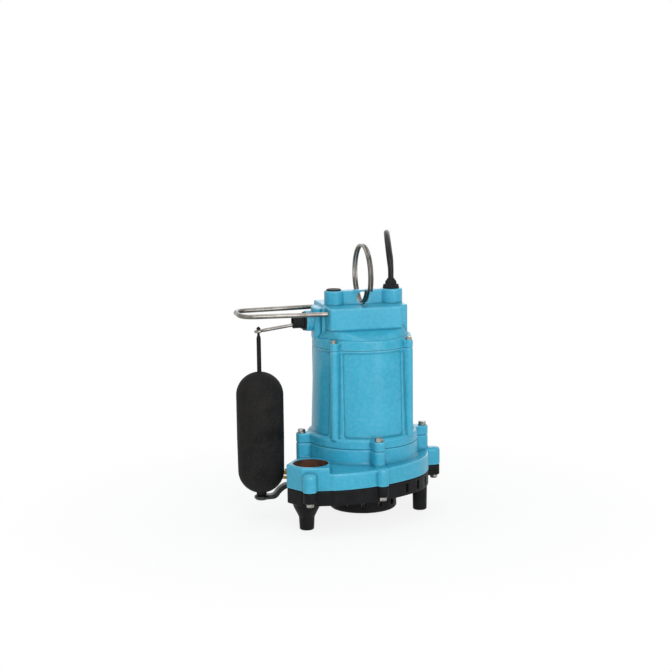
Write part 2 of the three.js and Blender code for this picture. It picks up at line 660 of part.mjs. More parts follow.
const bushingEndX = chamberLeft + coverWall + 1;
add('switch_bushing', cut(
  join(
    rodX(bushingRadius, neckEndX - 1, bushingEndX, leverY, neckZ, 16),
    rodX(bushingRadius + 2, neckEndX - faceGap - 2.4, neckEndX - faceGap, leverY, neckZ, 20),
  ),
  rodX(bootBore, neckEndX - 4, bushingEndX + 1, leverY, neckZ, 16),
  rodY(pinRadius + holeGap, leverY - 14, leverY + 14, pivotX, pivotZ, 12),
), rubber, 0.6);
const bootStartX = neckEndX - 2 * faceGap - 2.4;
add('switch_boot', cut(
  join(
    rodX(bootRadius, bootEndX, bootStartX, leverY, neckZ, 16),
    rodX(bootRadius + 1, bootStartX - 2.5, bootStartX, leverY, neckZ, 16),
  ),
  rodX(bootBore, bootEndX - 1, bootStartX + 1, leverY, neckZ, 16),
), rubber, 0.7);
const pinHalf = Math.sqrt(bushingRadius ** 2 - (pivotZ - neckZ) ** 2) - 1;
add('lever_pin', rodY(pinRadius, leverY - pinHalf, leverY + pinHalf, pivotX, pivotZ, 12), darkSteel, 0.35, 0.9);

// Lever, drawn level along -X from its pivot and then turned down.
const lever = cut(
  join(
    rodX(leverRadius, -leverReach + eyeLoopRadius, fingerReach + 1, 0, 0, 10),
    rodY(hubRadius, -hubWidth / 2, hubWidth / 2, 0, 0, 14),
    new THREE.TorusGeometry(eyeLoopRadius, eyeWire, 6, 16).translate(-leverReach, 0, 0),
  ),
  rodY(pinRadius + holeGap, -8, 8, 0, 0, 10),
  rod(eyeLoopRadius - eyeWire, -5, 5, -leverReach, 0, 16),
);
const droopingLever = toGeometry(lever).rotateY(-leverDroop * DEG).translate(pivotX, leverY, pivotZ);
add('switch_lever', droopingLever, steel, 0.3, 0.9);

// Micro switch: its button hangs over the lever's inner end.
const fingerX = pivotX + fingerReach * Math.cos(leverDroop * DEG);
const fingerTopZ = pivotZ + fingerReach * Math.sin(leverDroop * DEG) + leverRadius;
add('micro_switch', join(
  box(bushingEndX + faceGap, fingerX + 24, leverY - 6, leverY + 10, fingerTopZ + 2.5, boxTopZ - 7 - faceGap),
  box(fingerX - 1.5, fingerX + 1.5, leverY - 1.5, leverY + 1.5, fingerTopZ + 0.5, fingerTopZ + 4),
), black, 0.4);

// Float and its rod.

const eyeTop = eyeZ + eyeWire;
const rodBottomZ = floatTopZ - rodDepth;
add('float_rod', turned([[0, rodBottomZ], [rodRadius, rodBottomZ], [rodRadius, eyeZ - 9.5],
  [rodNeckRadius, eyeZ - 5], [rodNeckRadius, eyeTop + 1.2], [3.2, eyeTop + 1.2], [0.8, eyeTop + 4.6],
  [0, eyeTop + 4.6]], 12).translate(eyeX, leverY, 0), black, 0.5);

const floatSeam = (floatTopZ + floatBottomZ) / 2 - 7;
const dome = (z, from, to, radius) => arc(0, z, radius, from, to, 5);
const floatProfile = [
  [0, guideCupTopZ + 0.5], [7.1, guideCupTopZ + 0.5], [7.1, floatBottomZ + 0.9],
  ...dome(floatBottomZ + floatRadius, -76, -12, floatRadius - 0.6),
  [floatRadius, floatSeam - 1.2], [floatRadius - 0.7, floatSeam], [floatRadius, floatSeam + 1.2],
  ...dome(floatTopZ - floatRadius, 4, 84, floatRadius), [0, floatTopZ],
];
add('float', cut(
  turned(floatProfile, 24),
  rod(guidePinRadius + 2 * slideGap, guideCupTopZ - 1, guidePinTopZ + 8, 0, 0, 10),
  rod(rodRadius + holeGap, rodBottomZ - 2, floatTopZ + 1, 0, 0, 12),
).translate([eyeX, leverY, 0]), black, 0.85);

// Float guide: cup with an upright pin, on an arm that rises to the base plate.
const armReach = armPadX - eyeX;
const armLine = new THREE.SplineCurve([
  [eyeX + 0.14 * armReach, guideCupBottomZ + armThickness / 2 + 0.4],
  [eyeX + 0.41 * armReach, guideCupBottomZ + armThickness / 2 + 1.4],
  [armPadX - 0.45 * armReach, armPadZ - 4.6], [armPadX - 0.27 * armReach, armPadZ + 1],
  [armPadX - 0.11 * armReach, armPadZ + armThickness / 2 - 0.2], [armPadX + 5.5, armPadZ + armThickness / 2],
].map(([x, z]) => new THREE.Vector2(x, z)));
const armPoints = armLine.getPoints(16).map((p, i) => {
  const n = armLine.getTangent(i / 16);
  const t = Math.min(1, Math.max(0, (p.x - (armPadX - 9)) / 4));
  const side = new THREE.Vector2(-n.y * (1 - t), n.x * (1 - t) + t).setLength(armThickness / 2);
  return [p.clone().add(side), p.clone().sub(side)];
});
const armOutline = [...armPoints.map((p) => p[0]), ...armPoints.map((p) => p[1]).reverse()]
  .map((p) => [p.x, p.y]);
const guideCup = turned([[0, guideCupBottomZ], [guideCupRadius - 2.5, guideCupBottomZ],
  [guideCupRadius, guideCupBottomZ + 2.5], [guideCupRadius, guideCupTopZ - 1.5],
  [guideCupRadius - 2, guideCupTopZ], [0, guideCupTopZ]], 18);
add('float_guide', cut(
  join(
    extrudeTo(armOutline, armWidth).rotateX(Math.PI / 2).translate(0, leverY + armWidth / 2, 0),
    guideCup.translate(eyeX, leverY, 0),
    rod(guidePinRadius, guideCupTopZ - 2, guidePinTopZ, eyeX, leverY, 10),
  ),
  rod(screwHole, armPadZ - 2, armPadZ + armThickness + 2, armPadX, leverY, 12),
), rubber, 0.6);
add('guide_screw', screw(armPadX, leverY, armPadZ, guideScrewLength, coverScrewHead, coverScrewHeadHeight, true),
  steel, 0.3, 0.9);

// Motor and shaft line.

// Stator laminations with slots that open to the bore.
const slots = 12;
const statorInner = rotorRadius + airGap;
const statorPoints = [];
for (let i = 0; i < slots; i += 1) {
  const step = 360 / slots;
  const a = i * step;
  [[statorInner, -0.36], [statorInner, 0.06], [statorInner + 2, 0.06], [statorInner + 15, -0.05],
    [statorInner + 15, 0.39], [statorInner + 2, 0.28], [statorInner, 0.28]]
    .forEach(([r, k]) => statorPoints.push(onCircle(r, a + k * step)));
}
const statorShape = outlineShape(arc(0, 0, coreRadius, 0, 351, 39));
statorShape.holes.push(new THREE.Path(statorPoints.map(([x, y]) => new THREE.Vector2(x, y))));
add('stator_core', new THREE.ExtrudeGeometry(statorShape, { depth: coreTopZ - coreBottomZ, bevelEnabled: false })
  .translate(0, 0, coreBottomZ), darkSteel, 0.5, 0.8);
const winding = (z0, z1) => turned([[statorInner + 4, z0], [statorInner + 17, z0],
  [statorInner + 20, (z0 + z1) / 2], [statorInner + 15, z1], [statorInner + 8, z1], [statorInner + 4, z0]], 16);
add('winding_upper', winding(coreTopZ + faceGap, coreTopZ + windingHeight), copper, 0.5, 0.3);
add('winding_lower', winding(coreBottomZ - faceGap, coreBottomZ - windingHeight), copper, 0.5, 0.3);

const bracketTopZ = upperBearingZ + upperBearingHeight + 4;
add('bearing_bracket', cut(
  join(
    ring(upperBearingRadius + 4, coreRadius, bracketTopZ - 5, bracketTopZ, 24),
    ring(upperBearingRadius + holeGap, upperBearingRadius + 5, upperBearingZ, bracketTopZ, 16),
    ring(shaftTopRadius + 2, upperBearingRadius + 1, bracketTopZ - 3, bracketTopZ, 16),
  ),
  ...quarter.map((a) => rod(8, bracketTopZ - 8, bracketTopZ + 1, ...onCircle(42, a), 6)),
), darkSteel, 0.5, 0.6);
const bearing = (bore, outer, z0, z1) => turned([[bore + holeGap, z0], [outer, z0], [outer, z1 - 0.8],
  [outer - 0.8, z1], [bore + holeGap, z1], [bore + holeGap, z0]], 16);
const upperBearing = bearing(shaftTopRadius, upperBearingRadius, upperBearingZ, upperBearingZ + upperBearingHeight);
add('upper_bearing', upperBearing, steel, 0.25, 0.9);
const lowerBearingTopZ = lowerBearingZ + lowerBearingHeight;
const lowerBearing = bearing(shaftRadius, lowerBearingRadius, lowerBearingZ + faceGap, lowerBearingTopZ);
add('lower_bearing', lowerBearing, steel, 0.25, 0.9);

const shoulderZ = upperBearingZ - faceGap;
const nutZ = impellerTopZ - vaneDepth - 5;
const tipShoulderZ = lowerBearingZ - 1;
add('motor_shaft', turned([[0, nutZ - 6], [shaftTipRadius - 0.8, nutZ - 6], [shaftTipRadius, nutZ - 5.2],
  [shaftTipRadius, tipShoulderZ], [shaftRadius, tipShoulderZ], [shaftRadius, coreTopZ + 14],
  [shaftTopRadius + 2, shoulderZ - 1], [shaftTopRadius + 2, shoulderZ], [shaftTopRadius, shoulderZ],
  [shaftTopRadius, bracketTopZ - 4], [0, bracketTopZ - 4]], 14), steel, 0.3, 0.9);
add('rotor_core', cut(
  join(
    rod(rotorRadius, coreBottomZ - 1, coreTopZ + 1, 0, 0, 24),
    rod(rotorRadius - 4, coreBottomZ - 7, coreTopZ + 7, 0, 0, 16),
  ),
  rod(shaftRadius + holeGap, coreBottomZ - 10, coreTopZ + 10, 0, 0, 14),
), darkSteel, 0.45, 0.7);

// Fixed seal seat in the hub, turning half on the impeller's hub.
const sealSplitZ = lowerBearingZ - 9;
const sealFootZ = impellerTopZ + 4;
const sealBore = shaftTipRadius + holeGap;
add('seal_seat', ring(shaftTipRadius + 1.6, sealRadius, sealSplitZ + faceGap, lowerBearingZ - 2 - faceGap, 18),
  ceramic, 0.4);
add('seal_rotor', turned([[sealBore, sealFootZ], [sealRotorRadius, sealFootZ], [sealRotorRadius, sealSplitZ - 5],
  [sealRotorRadius - 2.5, sealSplitZ - 3], [sealRotorRadius - 2.5, sealSplitZ], [sealBore, sealSplitZ],
  [sealBore, sealFootZ]], 16), darkSteel, 0.4, 0.5);

// Impeller: shroud on top, curved vanes below.
const vane = () => {
  const inner = impellerHub - 1;
  const outer = impellerRadius - 0.5;
  const line = (shift) => {
    const points = [];
    for (let i = 0; i <= 4; i += 1) {
      const r = inner + ((outer - inner) * i) / 4;
      points.push(onCircle(r, 62 * ((r - inner) / (outer - inner)) ** 0.8 + (shift / r) / DEG));
    }
    return points;
  };
  return prism([...line(-1.5), ...line(1.5).reverse()], impellerTopZ - 2 - vaneDepth, impellerTopZ - 2);
};
add('impeller', cut(
  join(
    turned([[0, impellerTopZ - 3], [impellerRadius, impellerTopZ - 3], [impellerRadius, impellerTopZ - 0.6],
      [impellerHub + 3, impellerTopZ], [impellerHub, impellerTopZ + 3.7], [0, impellerTopZ + 3.7]], 30),
    turned([[0, nutZ], [impellerHub, nutZ], [impellerHub + 1, impellerTopZ - 2], [0, impellerTopZ - 2]], 18),
    ...Array.from({ length: vaneCount }, (_, i) => aboutShaft(vane(), (i * 360) / vaneCount)),
  ),
  rod(shaftTipRadius + holeGap, nutZ - 2, impellerTopZ + 6, 0, 0, 14),
), darkPlastic, 0.5);
add('impeller_nut', cut(
  rod(10, nutZ - 5, nutZ - faceGap, 0, 0, 6),
  rod(shaftTipRadius + holeGap, nutZ - 8, nutZ + 1, 0, 0, 14),
), steel, 0.3, 0.9);

add('run_capacitor', rodX(capacitorRadius, boxLeft + 20, boxLeft + 20 + capacitorLength, capacitorY,
  boxTopZ - coverWall - faceGap - capacitorRadius, 20), aluminium, 0.4, 0.6);

// Power cord.

// The cord rises from the gland, leans slightly, arches straight back over the cover and falls
// behind the pump to the floor, where it runs into its coil.
const archAngle = 74.2 * DEG; // direction of the arch seen from above
const away = new THREE.Vector3(Math.cos(archAngle), Math.sin(archAngle), 0);
const aside = new THREE.Vector3(-Math.sin(archAngle), Math.cos(archAngle), 0);
const archFootZ = glandTopZ + 12;
const floorZ = cordRadius + 0.2;
const cordStart = new THREE.Vector3(glandX, ribY, glandTopZ - cordSeatDepth);
const cordPoints = [cordStart, cordStart.clone().setZ(glandTopZ + 2)];
for (let i = 0; i <= 10; i += 1) {
  const a = (i * Math.PI) / 10;
  cordPoints.push(new THREE.Vector3(glandX, ribY, archFootZ + archHeight * Math.sin(a))
    .addScaledVector(away, (archSpan / 2) * (1 - Math.cos(a))).addScaledVector(aside, 5.5 * Math.sin(a)));
}
const drop = new THREE.Vector3(glandX, ribY, 0).addScaledVector(away, archSpan);

// The coil lies flat: the lower layer winds inwards, the upper one outwards, and the cord climbs
// in the half turn where it turns back. Both ends run straight for one cord diameter.
const coilCentre = new THREE.Vector3(coilX, coilY, 0);
const fromDrop = coilCentre.clone().sub(drop);
const tangentAngle = Math.atan2(fromDrop.y, fromDrop.x) + Math.asin(coilOuter / fromDrop.length());
const coilStartAngle = tangentAngle + Math.PI / 2;
const layerStep = 2 * cordRadius + 0.7;
const loopSteps = 24;
function loopPoint(turns, target = new THREE.Vector3()) {
  const half = coilTurns / 2;
  const radius = coilOuter - coilPitch * (half - Math.abs(turns - half));
  const climb = THREE.MathUtils.smoothstep(turns, half - 0.25, half + 0.25);
  const a = coilStartAngle - turns * 2 * Math.PI;
  return target.set(coilX + radius * Math.cos(a), coilY + radius * Math.sin(a), floorZ + climb * layerStep);
}
const intoCoil = loopPoint(0.001).sub(loopPoint(0)).normalize();
const outOfCoil = loopPoint(coilTurns).sub(loopPoint(coilTurns - 0.001)).normalize();
const coilStart = loopPoint(0).addScaledVector(intoCoil, -2 * cordRadius);
const coilEnd = loopPoint(coilTurns).addScaledVector(outOfCoil, 2 * cordRadius);
const coilSteps = coilTurns * loopSteps + 2;
class CoilCurve extends THREE.Curve {
  getUtoTmapping(u) {
    return u;
  }

  getPoint(t, target = new THREE.Vector3()) {
    const step = t * coilSteps;
    if (step < 1) return target.copy(coilStart).addScaledVector(intoCoil, step * 2 * cordRadius);
    if (step > coilSteps - 1) {
      return target.copy(coilEnd).addScaledVector(outOfCoil, (step - coilSteps) * 2 * cordRadius);
    }
    return loopPoint((step - 1) / loopSteps, target);
  }
}
const coilCurve = new CoilCurve();

[archFootZ - 60, archFootZ - 130, archFootZ - 200, 80].forEach((z) => cordPoints.push(drop.clone().setZ(z)));
const landing = coilStart.clone().addScaledVector(intoCoil, -faceGap - 10);
const toLanding = landing.clone().sub(drop).setZ(0).normalize();
for (let a = 0; a < 90; a += 22.5) {
  cordPoints.push(drop.clone().addScaledVector(toLanding, footBend * (1 - Math.cos(a * DEG)))
    .setZ(floorZ + footBend * (1 - Math.sin(a * DEG))));
}
cordPoints.push(landing);
cordPoints.push(coilStart.clone().addScaledVector(intoCoil, -faceGap));
const cordCurve = new THREE.CatmullRomCurve3(cordPoints, false, 'centripetal');
add('power_cord', tube(cordCurve, cordRadius, 32, 8), black, 0.6);
add('cord_coil', tube(coilCurve, cordRadius, coilSteps, 6), black, 0.6);

// Tail from the coil to the plug, and the plug itself, lying flat.
const plugHeight = 22;
const plugWidth = 26;
const plugZ = plugHeight / 2 + 0.2;
const pastCoil = (distance) => coilEnd.clone().addScaledVector(outOfCoil, distance);
const tailPoints = [pastCoil(faceGap), pastCoil(12), pastCoil(36).setZ(plugZ + 0.2), pastCoil(50).setZ(plugZ)];
const plugPlace = pastCoil(50 + faceGap).setZ(plugZ);
const tailCurve = new THREE.CatmullRomCurve3(tailPoints, false, 'centripetal');
add('cord_tail', tube(tailCurve, cordRadius, 7, 8), black, 0.6);
const plugAt = (geometry) => toGeometry(geometry).rotateZ(Math.atan2(outOfCoil.y, outOfCoil.x))
  .translate(plugPlace.x, plugPlace.y, plugPlace.z);
const plugSide = [[0, -5.5], [10, -6.5], [14, -plugWidth / 2 + 1], [plugLength - 3, -plugWidth / 2],
  [plugLength, -plugWidth / 2 + 2]];
const plugOutline = [...plugSide, ...plugSide.map(([x, y]) => [x, -y]).reverse()];
add('plug_body', plugAt(cut(
  softPrism(plugOutline, -plugHeight / 2, plugHeight / 2, 3),
  box(plugLength - 8, plugLength + 1, -6.9, -4.5, -0.5, 6.5),
  box(plugLength - 8, plugLength + 1, 4.5, 6.9, -0.5, 6.5),
  rodX(2.7, plugLength - 8, plugLength + 1, 0, -6, 16),
)), black, 0.6);
[-5.7, 5.7].forEach((y, i) => add(`plug_blade_${i + 1}`,
  plugAt(box(plugLength - 7.5, plugLength + 17, y - 0.75, y + 0.75, 0, 6.1)), brass, 0.3, 0.9));
add('plug_ground_pin', plugAt(rodX(2.4, plugLength - 7.5, plugLength + 20, 0, -6, 12)), brass, 0.3, 0.9);

// Length of the cord, and the least gap between the turns of the coil.
const coilPoints = Array.from({ length: coilTurns * 48 + 1 }, (_, i) => loopPoint(i / 48));
let leastGap = Infinity;
coilPoints.forEach((p, i) => coilPoints.slice(i + 24).forEach((q) => {
  leastGap = Math.min(leastGap, p.distanceTo(q) - 2 * cordRadius);
}));
const cordLength = [cordCurve, coilCurve, tailCurve].reduce((sum, curve) => sum + curve.getLength(), 0);
console.log(`cord length ${cordLength.toFixed(0)} mm, least gap in the coil ${leastGap.toFixed(2)} mm`);

export default pump;
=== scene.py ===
# %% [markdown]
# # A submersible sump pump, dressed for its picture
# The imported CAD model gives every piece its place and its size. This script keeps that frame and puts
# finer skins on it: painted castings with soft edges, moulded plastic, bent steel rod, and a real cord.
# Each step says what the piece is on the real pump, how it could be made, and why this way was taken.

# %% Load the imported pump
import math
from contextlib import contextmanager

import bpy
import numpy as np
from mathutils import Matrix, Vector


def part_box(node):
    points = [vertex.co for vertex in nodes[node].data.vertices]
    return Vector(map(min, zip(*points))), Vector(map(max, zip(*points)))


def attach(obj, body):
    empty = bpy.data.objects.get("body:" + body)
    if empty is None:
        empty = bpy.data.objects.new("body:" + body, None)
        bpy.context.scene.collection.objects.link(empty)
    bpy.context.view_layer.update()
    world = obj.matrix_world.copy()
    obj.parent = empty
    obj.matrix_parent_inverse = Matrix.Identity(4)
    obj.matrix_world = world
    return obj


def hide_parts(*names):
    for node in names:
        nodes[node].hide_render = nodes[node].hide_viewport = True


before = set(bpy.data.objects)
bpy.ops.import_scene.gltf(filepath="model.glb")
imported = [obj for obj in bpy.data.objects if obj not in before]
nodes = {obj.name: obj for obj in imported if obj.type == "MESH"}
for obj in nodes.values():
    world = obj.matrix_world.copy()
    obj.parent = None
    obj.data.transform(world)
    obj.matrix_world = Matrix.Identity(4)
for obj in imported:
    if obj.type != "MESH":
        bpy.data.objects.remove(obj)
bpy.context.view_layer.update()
print("pieces in the frame:", len(nodes))

# %% [markdown]
# ## Places on the pump
# The pump is measured in millimetres from its motor shaft, because every casting is built round that
# line. One small function turns such a place into Blender's metres, and another reads the lowest and
# highest corner of a piece of the frame back in the same millimetres.

# %% Places
MM = 0.001
SHAFT = Vector((0.032, 0.004, 0.0))


def at(x, y, z):
    return SHAFT + Vector((x, y, z)) * MM


def span(node):
    low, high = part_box(node)
    return (Vector(low) - SHAFT) / MM, (Vector(high) - SHAFT) / MM


FLANGE_Z, COVER_Z = (corner.z for corner in span("motor_housing"))
VOLUTE_Z = span("volute_casing")[0].z
BOSS_TOP_Z = span("top_cover")[1].z
PLATE_TOP_Z = span("base_plate")[1].z
ROOF_Z = VOLUTE_Z + 23
FLANGE_TOP_Z = FLANGE_Z + 12.2
EAR_TOP_Z = COVER_Z + 11
BOX_Z, BOX_TOP_Z = BOSS_TOP_Z - 49, BOSS_TOP_Z - 19.5
BLOCK_TOP_Z = ROOF_Z + 9
print(f"housing from {FLANGE_Z:.1f} to {COVER_Z:.1f} mm, cover up to {BOSS_TOP_Z:.1f} mm")

# %% [markdown]
# ## The camera
# The photograph looks at the pump a little from the left and from above. A long lens from two and a
# half metres keeps the upright edges nearly parallel. The lens is shifted instead of turned, so that
# the pump sits right of and below the middle of the picture.

# %% Camera
AZIMUTH, ELEVATION, DISTANCE = math.radians(-14.9), math.radians(11.2), 2.455
level = math.cos(ELEVATION)
back = Vector((math.sin(AZIMUTH) * level, -math.cos(AZIMUTH) * level, math.sin(ELEVATION)))
aim = at(0, 0, 164.3)
bpy.ops.object.camera_add(location=aim + back * DISTANCE)
camera = bpy.context.object
camera.rotation_euler = (-back).to_track_quat("-Z", "Y").to_euler()
camera.rotation_euler.rotate_axis("Z", math.radians(-0.5))
camera.data.sensor_width = 36.0
camera.data.lens = 94.55
camera.data.shift_x = -0.0388
camera.data.shift_y = 0.0876
camera.data.clip_start, camera.data.clip_end = 0.05, 50
bpy.context.scene.camera = camera
print("camera at", [round(v, 3) for v in camera.location])

# %% [markdown]
# ## Wiring a material
# A material is a small tree of nodes. A few helpers keep the trees short. They add a node and fill or
# link its sockets by name, make noise at a given size in millimetres, turn noise into a blend of two
# colours, and lay bumps on a surface.

# %% Node helpers
def wire(tree, kind, props=None, **inputs):
    node = tree.nodes.new(kind)
    for name, value in (props or {}).items():
        setattr(node, name, value)
    for socket, value in inputs.items():
        plug = node.inputs[int(socket[1:])] if socket[1:].isdigit() else node.inputs[socket.replace("_", " ")]
        if isinstance(value, bpy.types.NodeSocket):
            tree.links.new(value, plug)
        else:
            plug.default_value = value
    return node


def paint(hex_code):
    """A colour as it is seen, in the linear numbers that a shader wants."""
    channels = [int(hex_code[i:i + 2], 16) / 255 for i in (0, 2, 4)]
    return (*[c / 12.92 if c < 0.04045 else ((c + 0.055) / 1.055) ** 2.4 for c in channels], 1)


def start_material(name):
    material = bpy.data.materials.new(name)
    material.use_nodes = True
    tree = material.node_tree
    tree.nodes.clear()
    shader = tree.nodes.new("ShaderNodeBsdfPrincipled")
    tree.links.new(shader.outputs[0], tree.nodes.new("ShaderNodeOutputMaterial").inputs[0])
    place = tree.nodes.new("ShaderNodeTexCoord").outputs["Object"]
    return material, tree, shader, place


def grain(tree, place, size, detail=3.0, stretch=None):
    """Noise whose lumps are about size millimetres across."""
    if stretch:
        place = wire(tree, "ShaderNodeMapping", Vector=place, Scale=stretch).outputs[0]
    return wire(tree, "ShaderNodeTexNoise", Vector=place, Scale=1 / (size * MM), Detail=detail).outputs[0]


def spread(tree, value, low, high, out_low, out_high):
    return wire(tree, "ShaderNodeMapRange", Value=value, From_Min=low, From_Max=high, To_Min=out_low,
                To_Max=out_high).outputs[0]


def between(tree, factor, first, second):
    """A blend of two colours, each of them a node's output or a hex code."""
    first, second = (paint(colour) if isinstance(colour, str) else colour for colour in (first, second))
    return wire(tree, "ShaderNodeMix", {"data_type": "RGBA"}, _0=factor, _6=first, _7=second).outputs[2]


def dress(tree, shader, colour, rough, metal=0.0, shine=0.5):
    """What every finish of the pump has."""
    tree.links.new(colour, shader.inputs["Base Color"])
    tree.links.new(rough, shader.inputs["Roughness"])
    shader.inputs["Metallic"].default_value = metal
    shader.inputs["Specular IOR Level"].default_value = shine


def bumps(tree, shader, *layers):
    """Each layer is a height, a depth in millimetres and a strength."""
    normal = None
    for height, depth, strength in layers:
        bump = wire(tree, "ShaderNodeBump", Height=height, Distance=depth * MM, Strength=strength)
        if normal:
            tree.links.new(normal, bump.inputs["Normal"])
        normal = bump.outputs[0]
    tree.links.new(normal, shader.inputs["Normal"])


# %% [markdown]
# ## Floor, background and light
# A product picture wants a white ground and large soft lamps. The floor is pale and keeps a faint
# shadow near the pump; further away it glows as white as the world, so that no horizon shows. The
# lamps are weak enough that the paint keeps the colour that it is given.

# %% Floor and light
scene = bpy.context.scene
scene.view_settings.view_transform = "Standard"


def seen_ray(tree):
    """1 where the camera, a mirror or glass looks, 0 where the surface only lights others."""
    path = tree.nodes.new("ShaderNodeLightPath")
    top = {"operation": "MAXIMUM"}
    kinds = ("Camera", "Glossy", "Transmission")
    camera_ray, glossy_ray, clear_ray = (path.outputs[f"Is {kind} Ray"] for kind in kinds)
    both = wire(tree, "ShaderNodeMath", top, _0=camera_ray, _1=glossy_ray).outputs[0]
    return wire(tree, "ShaderNodeMath", top, _0=both, _1=clear_ray).outputs[0]


world = bpy.data.worlds.new("studio")
scene.world = world
world.use_nodes = True
sky = world.node_tree
sky.nodes.clear()
dim = wire(sky, "ShaderNodeBackground", Color=(0.86, 0.96, 1.0, 1), Strength=0.36)
bright = wire(sky, "ShaderNodeBackground", Color=(1, 1, 1, 1), Strength=1.0)
either = wire(sky, "ShaderNodeMixShader", _0=seen_ray(sky), _1=dim.outputs[0], _2=bright.outputs[0])
wire(sky, "ShaderNodeOutputWorld", _0=either.outputs[0])

FLOOR_SIZE, SHADOW_REACH, SHADOW_SHARE = 12.0, 0.5, 0.15
bpy.ops.mesh.primitive_plane_add(size=FLOOR_SIZE, location=(0, 0, -0.0004))
floor = bpy.context.object
floor.name = "studio_floor"
pale = bpy.data.materials.new("pale_floor")
pale.use_nodes = True
tree = pale.node_tree
tree.nodes.clear()
plain = wire(tree, "ShaderNodeBsdfDiffuse", Color=(0.9, 0.9, 0.9, 1))
glow = wire(tree, "ShaderNodeEmission", Color=(1, 1, 1, 1), Strength=1.0)
place = tree.nodes.new("ShaderNodeTexCoord").outputs["Object"]
distance = wire(tree, "ShaderNodeVectorMath", {"operation": "LENGTH"}, _0=place).outputs["Value"]
fade = spread(tree, distance, 0.12, SHADOW_REACH, 1 - SHADOW_SHARE, 1.0)
share = wire(tree, "ShaderNodeMath", {"operation": "MULTIPLY"}, _0=seen_ray(tree), _1=fade).outputs[0]
both = wire(tree, "ShaderNodeMixShader", _0=share, _1=plain.outputs[0], _2=glow.outputs[0])
wire(tree, "ShaderNodeOutputMaterial", _0=both.outputs[0])
floor.data.materials.append(pale)

LAMPS = {
    "key_softbox": ((0.02, -2.0, 1.0), (1.1, 1.1), 19.0),
    "strip_softbox": ((0.85, -1.95, 0.40), (0.5, 0.8), 6.0),
    "fill_softbox": ((-1.7, -1.2, 0.7), (1.2, 1.4), 4.0),
    "top_softbox": ((-0.1, 0.1, 2.1), (1.3, 1.3), 10.0),
    "back_softbox": ((0.9, 1.7, 0.9), (1.2, 1.2), 6.0),
}
for name, (spot, size, power) in LAMPS.items():
    bpy.ops.object.light_add(type="AREA", location=spot)
    lamp = bpy.context.object
    lamp.name = name
    lamp.data.shape = "RECTANGLE"
    lamp.data.size, lamp.data.size_y = size
    lamp.data.energy = power
    lamp.rotation_euler = (Vector(spot) - aim).to_track_quat("Z", "Y").to_euler()
print("lamps:", ", ".join(LAMPS))

# %% [markdown]
# ## Tools for making pieces
# Every new piece starts as a primitive, is shaped in edit mode and is finished by modifiers. These
# helpers hold the steps that come back: selecting one piece, drawing a prism or a turned solid, and
# joining or cutting solids. Sizes go in as millimetres from the shaft.

# %% Selecting and editing
WELD = 0.00001


@contextmanager
def editing(piece):
    """Edit mode with everything selected, and back to object mode."""
    only(piece)
    bpy.ops.object.mode_set(mode="EDIT")
    bpy.ops.mesh.select_all(action="SELECT")
    yield
    bpy.ops.object.mode_set(mode="OBJECT")


def only(piece, *others):
    bpy.ops.object.select_all(action="DESELECT")
    for each in (piece, *others):
        each.select_set(True)
    bpy.context.view_layer.objects.active = piece


def apply(piece, kind, **settings):
    only(piece)
    modifier = piece.modifiers.new(kind.lower(), kind)
    for name, value in settings.items():
        setattr(modifier, name, value)
    bpy.ops.object.modifier_apply(modifier=modifier.name)


def outward(piece):
    """Welds points that meet and turns every face outwards."""
    with editing(piece):
        bpy.ops.mesh.remove_doubles(threshold=WELD)
        bpy.ops.mesh.normals_make_consistent(inside=False)
    return piece


# %% Outlines
def on_circle(radius, degrees):
    return radius * math.cos(math.radians(degrees)), radius * math.sin(math.radians(degrees))


def arc(x, y, radius, start, end, steps):
    turns = [start + (end - start) * i / steps for i in range(steps + 1)]
    return [(x + on_circle(radius, a)[0], y + on_circle(radius, a)[1]) for a in turns]


def rounded(x0, x1, y0, y1, r, steps=6):
    return (arc(x1 - r, y0 + r, r, -90, 0, steps) + arc(x1 - r, y1 - r, r, 0, 90, steps)
            + arc(x0 + r, y1 - r, r, 90, 180, steps) + arc(x0 + r, y0 + r, r, 180, 270, steps))


def turn(points, degrees):
    c, s = on_circle(1, degrees)
    return [(x * c - y * s, x * s + y * c) for x, y in points]


def lug(degrees, inner, circle, radius, flare=0.0):
    """A screw lug seen from above: round outside, with sides that may flare towards the shaft."""
    end = arc(circle, 0, radius, -80, 80, 14)
    return turn([(inner, -radius - flare), *end, (inner, radius + flare)], degrees)


def lugs(angles, inner, circle, radius, flare, low, high, **softness):
    """The same lug at each of the angles, pulled up from low to high."""
    return [prism(lug(a, inner, circle, radius, flare), low, high, **softness) for a in angles]


def swing(start, corner, end, steps):
    """A short curve from start to end that leans towards the corner."""
    curve = []
    for i in range(steps + 1):
        t = i / steps
        curve.append(start * (1 - t) ** 2 + corner * 2 * t * (1 - t) + end * t * t)
    return curve


def inset(points, distance):
    """Every edge of an outline moved inwards."""
    line = [Vector(p) for p in points]
    area = sum(a.x * b.y - b.x * a.y for a, b in zip(line, line[1:] + line[:1]))
    edges = []
    for a, b in zip(line, line[1:] + line[:1]):
        d = (b - a).normalized()
        edges.append((a + Vector((-d.y, d.x)) * math.copysign(distance, area), d))
    moved = []
    for (p, d), (q, e) in zip(edges[-1:] + edges[:-1], edges):
        t = ((q.x - p.x) * e.y - (q.y - p.y) * e.x) / (d.x * e.y - d.y * e.x)
        moved.append(tuple(p + d * t))
    return moved


# %% Solids
def cylinder(start, end, radius, end_radius=None, sides=64):
    start, end = Vector(start), Vector(end)
    axis = end - start
    bpy.ops.mesh.primitive_cone_add(vertices=sides, radius1=radius * MM, depth=axis.length * MM,
                                    radius2=(radius if end_radius is None else end_radius) * MM,
                                    location=at(*((start + end) / 2)),
                                    rotation=axis.to_track_quat("Z", "Y").to_euler())
    bpy.ops.object.transform_apply(location=True, rotation=True, scale=True)
    return bpy.context.object


def post(x, y, z0, z1, radius, end_radius=None, sides=64):
    return cylinder((x, y, z0), (x, y, z1), radius, end_radius, sides)


